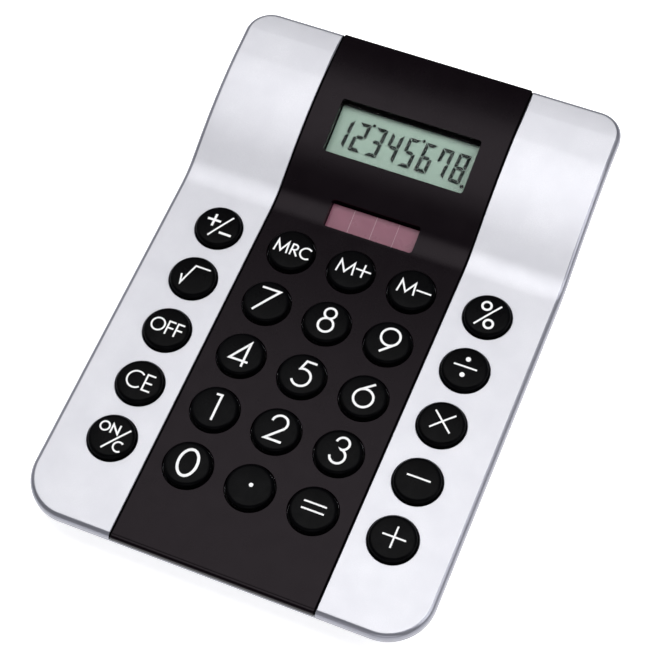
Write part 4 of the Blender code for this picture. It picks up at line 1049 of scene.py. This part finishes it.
CASE_HEAD = 1.3 * MM
BOARD_HEAD = 1.0 * MM
POST_RADIUS = 3.2 * MM
POST_FLOOR = 2.4 * MM
HEAD_BORE = 2.35 * MM
SHANK_BORE = 1.35 * MM
BORE_SEGMENTS = 40
FOOT_POCKET = 5.35 * MM
POCKET_REACH = 2.0 * MM
CELL_WELL = 6.3 * MM
CELL_WELL_TOP = 7.6 * MM
BLOCK_LOW = (-14.0 * MM, 44.5 * MM, 1.8 * MM)
BLOCK_HIGH = (14.0 * MM, 67.6 * MM, 9.0 * MM)
DOOR_TONGUE = 1.4 * MM
DOOR_STEP = 0.9 * MM
DOOR_EASE = 0.15 * MM
DOOR_RUN_OUT = 8.0 * MM
GRIP_GROOVES = 6
FOOT_EASE = 0.4 * MM
FOOT_DISH = 0.2 * MM
THREAD_PITCH = 0.4 * MM


def housing_shell():
    """Lower case as a closed shell, from the underside round the parting line to the inner floor."""
    rings = [
        base_ring(8.0 * MM, 0.0), base_ring(7.6 * MM, 0.15 * MM), base_ring(7.2 * MM, 0.8 * MM),
        face_ring(1.2 * MM, 4.8 * MM), face_ring(0.85 * MM, 4.5 * MM), face_ring(0.8 * MM, 4.35 * MM),
        face_ring(0.8 * MM, 3.3 * MM), face_ring(2.2 * MM, 3.3 * MM), face_ring(2.2 * MM, 4.4 * MM),
        face_ring(3.4 * MM, 5.1 * MM), base_ring(8.8 * MM, 1.6 * MM),
    ]
    bm = bmesh.new()
    ringed_solid(bm, rings)
    return new_object("lower_case", bm)


def screw_posts():
    """Posts round the case screws, and the bores through them."""
    posts = bmesh.new()
    bores = bmesh.new()
    for node in CASE_SCREWS:
        low, high = node_box(node)
        x, y = node_centre(node).xy
        seat = low.z + CASE_HEAD + GAP
        top = seat + POST_FLOOR
        foot = base_height(y) + 0.8 * MM
        post = [(0.0, top), (POST_RADIUS, top), (POST_RADIUS, foot), (0.0, foot)]
        add_turned(posts, post, BORE_SEGMENTS, (x, y))
        below = base_height(y) - 2.0 * MM
        bore = [
            (0.0, below), (HEAD_BORE, below), (HEAD_BORE, seat),
            (SHANK_BORE, seat), (SHANK_BORE, high.z), (0.0, high.z),
        ]
        add_turned(bores, bore, BORE_SEGMENTS, (x, y))
    return posts, bores


def make_bottom_housing():
    housing = housing_shell()
    posts, bores = screw_posts()
    block = cutter_box(BLOCK_LOW, BLOCK_HIGH)
    combine(housing, [new_object("posts", posts), block], "UNION")
    door_low, door_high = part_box("battery_door")
    pockets = bmesh.new()
    for node in FEET:
        centre = node_centre(node, WORLD)
        add_prism(pockets, circle(centre.xy, FOOT_POCKET, 48), -POCKET_REACH, POCKET_REACH)
    well = bmesh.new()
    cell = node_centre("button_cell", WORLD)
    add_prism(well, circle(cell.xy, CELL_WELL, 48), door_high.z, CELL_WELL_TOP)
    front = door_low.y - GAP
    beyond = door_high.y + DOOR_RUN_OUT
    narrow = door_high.x - DOOR_TONGUE + GAP
    wide = door_high.x + GAP
    step = door_low.z + DOOR_STEP
    cutters = [
        new_object("bores", bores), new_object("pockets", pockets, WORLD), new_object("well", well, WORLD),
        cutter_box((-narrow, front, door_low.z - 2.0 * MM), (narrow, beyond, step)),
        cutter_box((-wide, front, step - GAP), (wide, beyond, door_high.z + GAP)),
    ]
    combine(housing, cutters, "DIFFERENCE")
    # The lower case takes the darker rim look: painted shade on what is silver
    show(housing, "case", LOOKS["rim"], ["bottom_housing"])


def make_battery_door():
    low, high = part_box("battery_door")
    tongue = high.x - DOOR_TONGUE
    step = low.z + DOOR_STEP
    section = [
        (-tongue + DOOR_EASE, low.z), (tongue - DOOR_EASE, low.z), (tongue, low.z + DOOR_EASE),
        (tongue, step), (high.x, step), (high.x, high.z),
        (-high.x, high.z), (-high.x, step), (-tongue, step), (-tongue, low.z + DOOR_EASE),
    ]
    bm = bmesh.new()
    add_loft(bm, [[(x, y, z) for x, z in section] for y in (low.y, high.y)])
    door = new_object("door", bm, WORLD)
    grooves = []
    for i in range(GRIP_GROOVES):
        y = high.y - (3.0 + 1.3 * i) * MM
        reach = (6.0 - 0.6 * i) * MM
        groove_low = (-reach, y - 0.31 * MM, low.z - MM)
        groove_high = (reach, y + 0.31 * MM, low.z + 0.3 * MM)
        grooves.append(cutter_box(groove_low, groove_high))
    combine(door, grooves, "DIFFERENCE")
    # The door takes the darker rim look: painted shade on what is silver
    show(door, "battery_door", LOOKS["rim"], ["battery_door"])


def make_feet():
    for node in FEET:
        low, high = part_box(node)
        centre = (low + high) / 2.0
        radius = (high.x - low.x) / 2.0
        profile = [(0.0, high.z), (radius, high.z)]
        for angle in spaced(0.0, math.pi / 2.0, 6):
            edge = radius - FOOT_EASE * (1.0 - math.cos(angle))
            profile.append((edge, low.z + FOOT_EASE * (1.0 - math.sin(angle))))
        dish = low.z + FOOT_DISH
        profile += [(radius * 0.55, low.z), (radius * 0.5, dish), (0.0, dish)]
        bm = bmesh.new()
        add_turned(bm, profile, 64)
        foot = new_object("pad" + node[4:], bm, Matrix.Translation((centre.x, centre.y, 0.0)))
        show(foot, "case", LOOKS["rubber"], [node])


def screw_profile(low, high, head, seat):
    """Half section of a screw: rounded head, threaded shank and a blunt point."""
    shank = head * 0.5
    profile = [
        (0.0, low), (head * 0.7, low), (head * 0.93, low + 0.15 * MM), (head, low + 0.4 * MM),
        (head, seat - 0.1 * MM), (head - 0.1 * MM, seat), (shank * 0.85, seat),
    ]
    z = seat + 0.3 * MM
    while z < high - 0.6 * MM:
        profile += [(shank * 0.78, z), (shank, z + THREAD_PITCH / 2.0)]
        z += THREAD_PITCH
    return profile + [(shank * 0.5, high - 0.1 * MM), (0.0, high)]


def make_screws():
    for node in CASE_SCREWS + BOARD_SCREWS:
        low, high = node_box(node)
        centre = node_centre(node)
        head = (high.x - low.x) / 2.0
        seat = low.z + (CASE_HEAD if node in CASE_SCREWS else BOARD_HEAD)
        place = DECK @ Matrix.Translation((centre.x, centre.y, 0.0))
        bm = bmesh.new()
        add_turned(bm, screw_profile(low.z, high.z, head, seat), 32)
        screw = new_object(node.replace("screw", "fixing"), bm, place)
        slots = []
        for half_x, half_y in ((head * 0.6, head * 0.13), (head * 0.13, head * 0.6)):
            bm = bmesh.new()
            outline = rounded_box(half_x, half_y, head * 0.1, 3)
            add_prism(bm, outline, low.z - 0.2 * MM, low.z + 0.6 * MM)
            slots.append(new_object("recess", bm, place))
        combine(screw, slots, "DIFFERENCE")
        show(screw, "case", LOOKS["steel"], [node])


def dress_inner_nodes():
    """Better materials for the CAD nodes that are shown as they are."""
    looks = {
        "key_mat": "mat", "main_board": "board", "chip_resin": "resin", "capacitor": "steel",
        "resistor": "tan", "button_cell": "steel", "contact_positive": "steel", "contact_negative": "steel",
        "display_holder": "base", "display_ribbon": "amber", "solar_lead_red": "red",
        "solar_lead_black": "black_wire", "battery_lead_red": "red", "battery_lead_black": "black_wire",
    }
    for node, look in looks.items():
        frame["nodes"][node].material_slots[0].material = LOOKS[look]


# ---------------------------------------------------------------- floor, light and camera

FLOOR_HALF = 1.5
LIT_POINT = Vector((0.0, 20.0 * MM, 0.0))

# Camera in the deck frame
CAMERA_LENS = 106.7
CAMERA_SENSOR = 36.0
CAMERA_AZIMUTH = math.radians(28.0)
CAMERA_ELEVATION = math.radians(61.1)
CAMERA_ROLL = math.radians(-6.23)
CAMERA_DISTANCE = 484.6 * MM
CAMERA_TARGET = Vector((-0.3, 15.7, 0.0)) * MM


def make_floor():
    bm = bmesh.new()
    bmesh.ops.create_grid(bm, x_segments=4, y_segments=4, size=FLOOR_HALF)
    floor = new_object("floor", bm, WORLD)
    floor.data.materials.append(LOOKS["floor"])


def add_light(name, direction, distance, size, power):
    """Soft rectangular light that faces the bend of the deck; its width runs along the deck's X."""
    data = bpy.data.lights.new(name, "AREA")
    data.shape = "RECTANGLE"
    data.size = size[0]
    data.size_y = size[1]
    data.energy = power
    light = bpy.data.objects.new(name, data)
    bpy.context.scene.collection.objects.link(light)
    away = Vector(direction).normalized()
    along = Vector((1.0, 0.0, 0.0))
    across = (along - away * along.dot(away)).normalized()
    pose = Matrix((across, away.cross(across), away)).transposed().to_4x4()
    pose.translation = LIT_POINT + away * distance
    light.matrix_world = DECK @ pose


def make_light():
    world = bpy.data.worlds.new("studio")
    world.use_nodes = True
    background = world.node_tree.nodes["Background"]
    background.inputs["Color"].default_value = (0.93, 0.94, 1.0, 1.0)
    background.inputs["Strength"].default_value = 0.25
    bpy.context.scene.world = world
    add_light("overhead", (0.03, 0.18, 1.0), 0.9, (0.9, 0.5), 6.1)
    add_light("left", (-1.0, 0.3, 0.9), 1.0, (0.5, 0.5), 0.8)
    add_light("right", (1.0, 0.1, 0.9), 1.0, (0.5, 0.5), 2.7)
    add_light("front", (0.3, -1.0, 0.5), 1.2, (0.8, 0.3), 1.5)
    scene = bpy.context.scene
    scene.view_settings.view_transform = "Standard"
    scene.view_settings.look = "None"


def make_camera():
    data = bpy.data.cameras.new("camera")
    data.lens = CAMERA_LENS
    data.sensor_width = CAMERA_SENSOR
    data.clip_start = 0.02
    data.clip_end = 10.0
    camera = bpy.data.objects.new("camera", data)
    bpy.context.scene.collection.objects.link(camera)
    away = Vector((
        math.sin(CAMERA_AZIMUTH) * math.cos(CAMERA_ELEVATION),
        -math.cos(CAMERA_AZIMUTH) * math.cos(CAMERA_ELEVATION),
        math.sin(CAMERA_ELEVATION),
    ))
    right = Vector((0.0, 0.0, 1.0)).cross(away).normalized()
    up = away.cross(right)
    turned_right = right * math.cos(CAMERA_ROLL) + up * math.sin(CAMERA_ROLL)
    turned_up = up * math.cos(CAMERA_ROLL) - right * math.sin(CAMERA_ROLL)
    pose = Matrix((turned_right, turned_up, away)).transposed().to_4x4()
    pose.translation = CAMERA_TARGET + away * CAMERA_DISTANCE
    camera.matrix_world = DECK @ pose
    bpy.context.scene.camera = camera


make_keys()
make_legends()
make_top_housing()
make_strip()
make_display()
make_solar_cell()
make_bottom_housing()
make_battery_door()
make_feet()
make_screws()
dress_inner_nodes()
make_floor()
make_light()
make_camera()
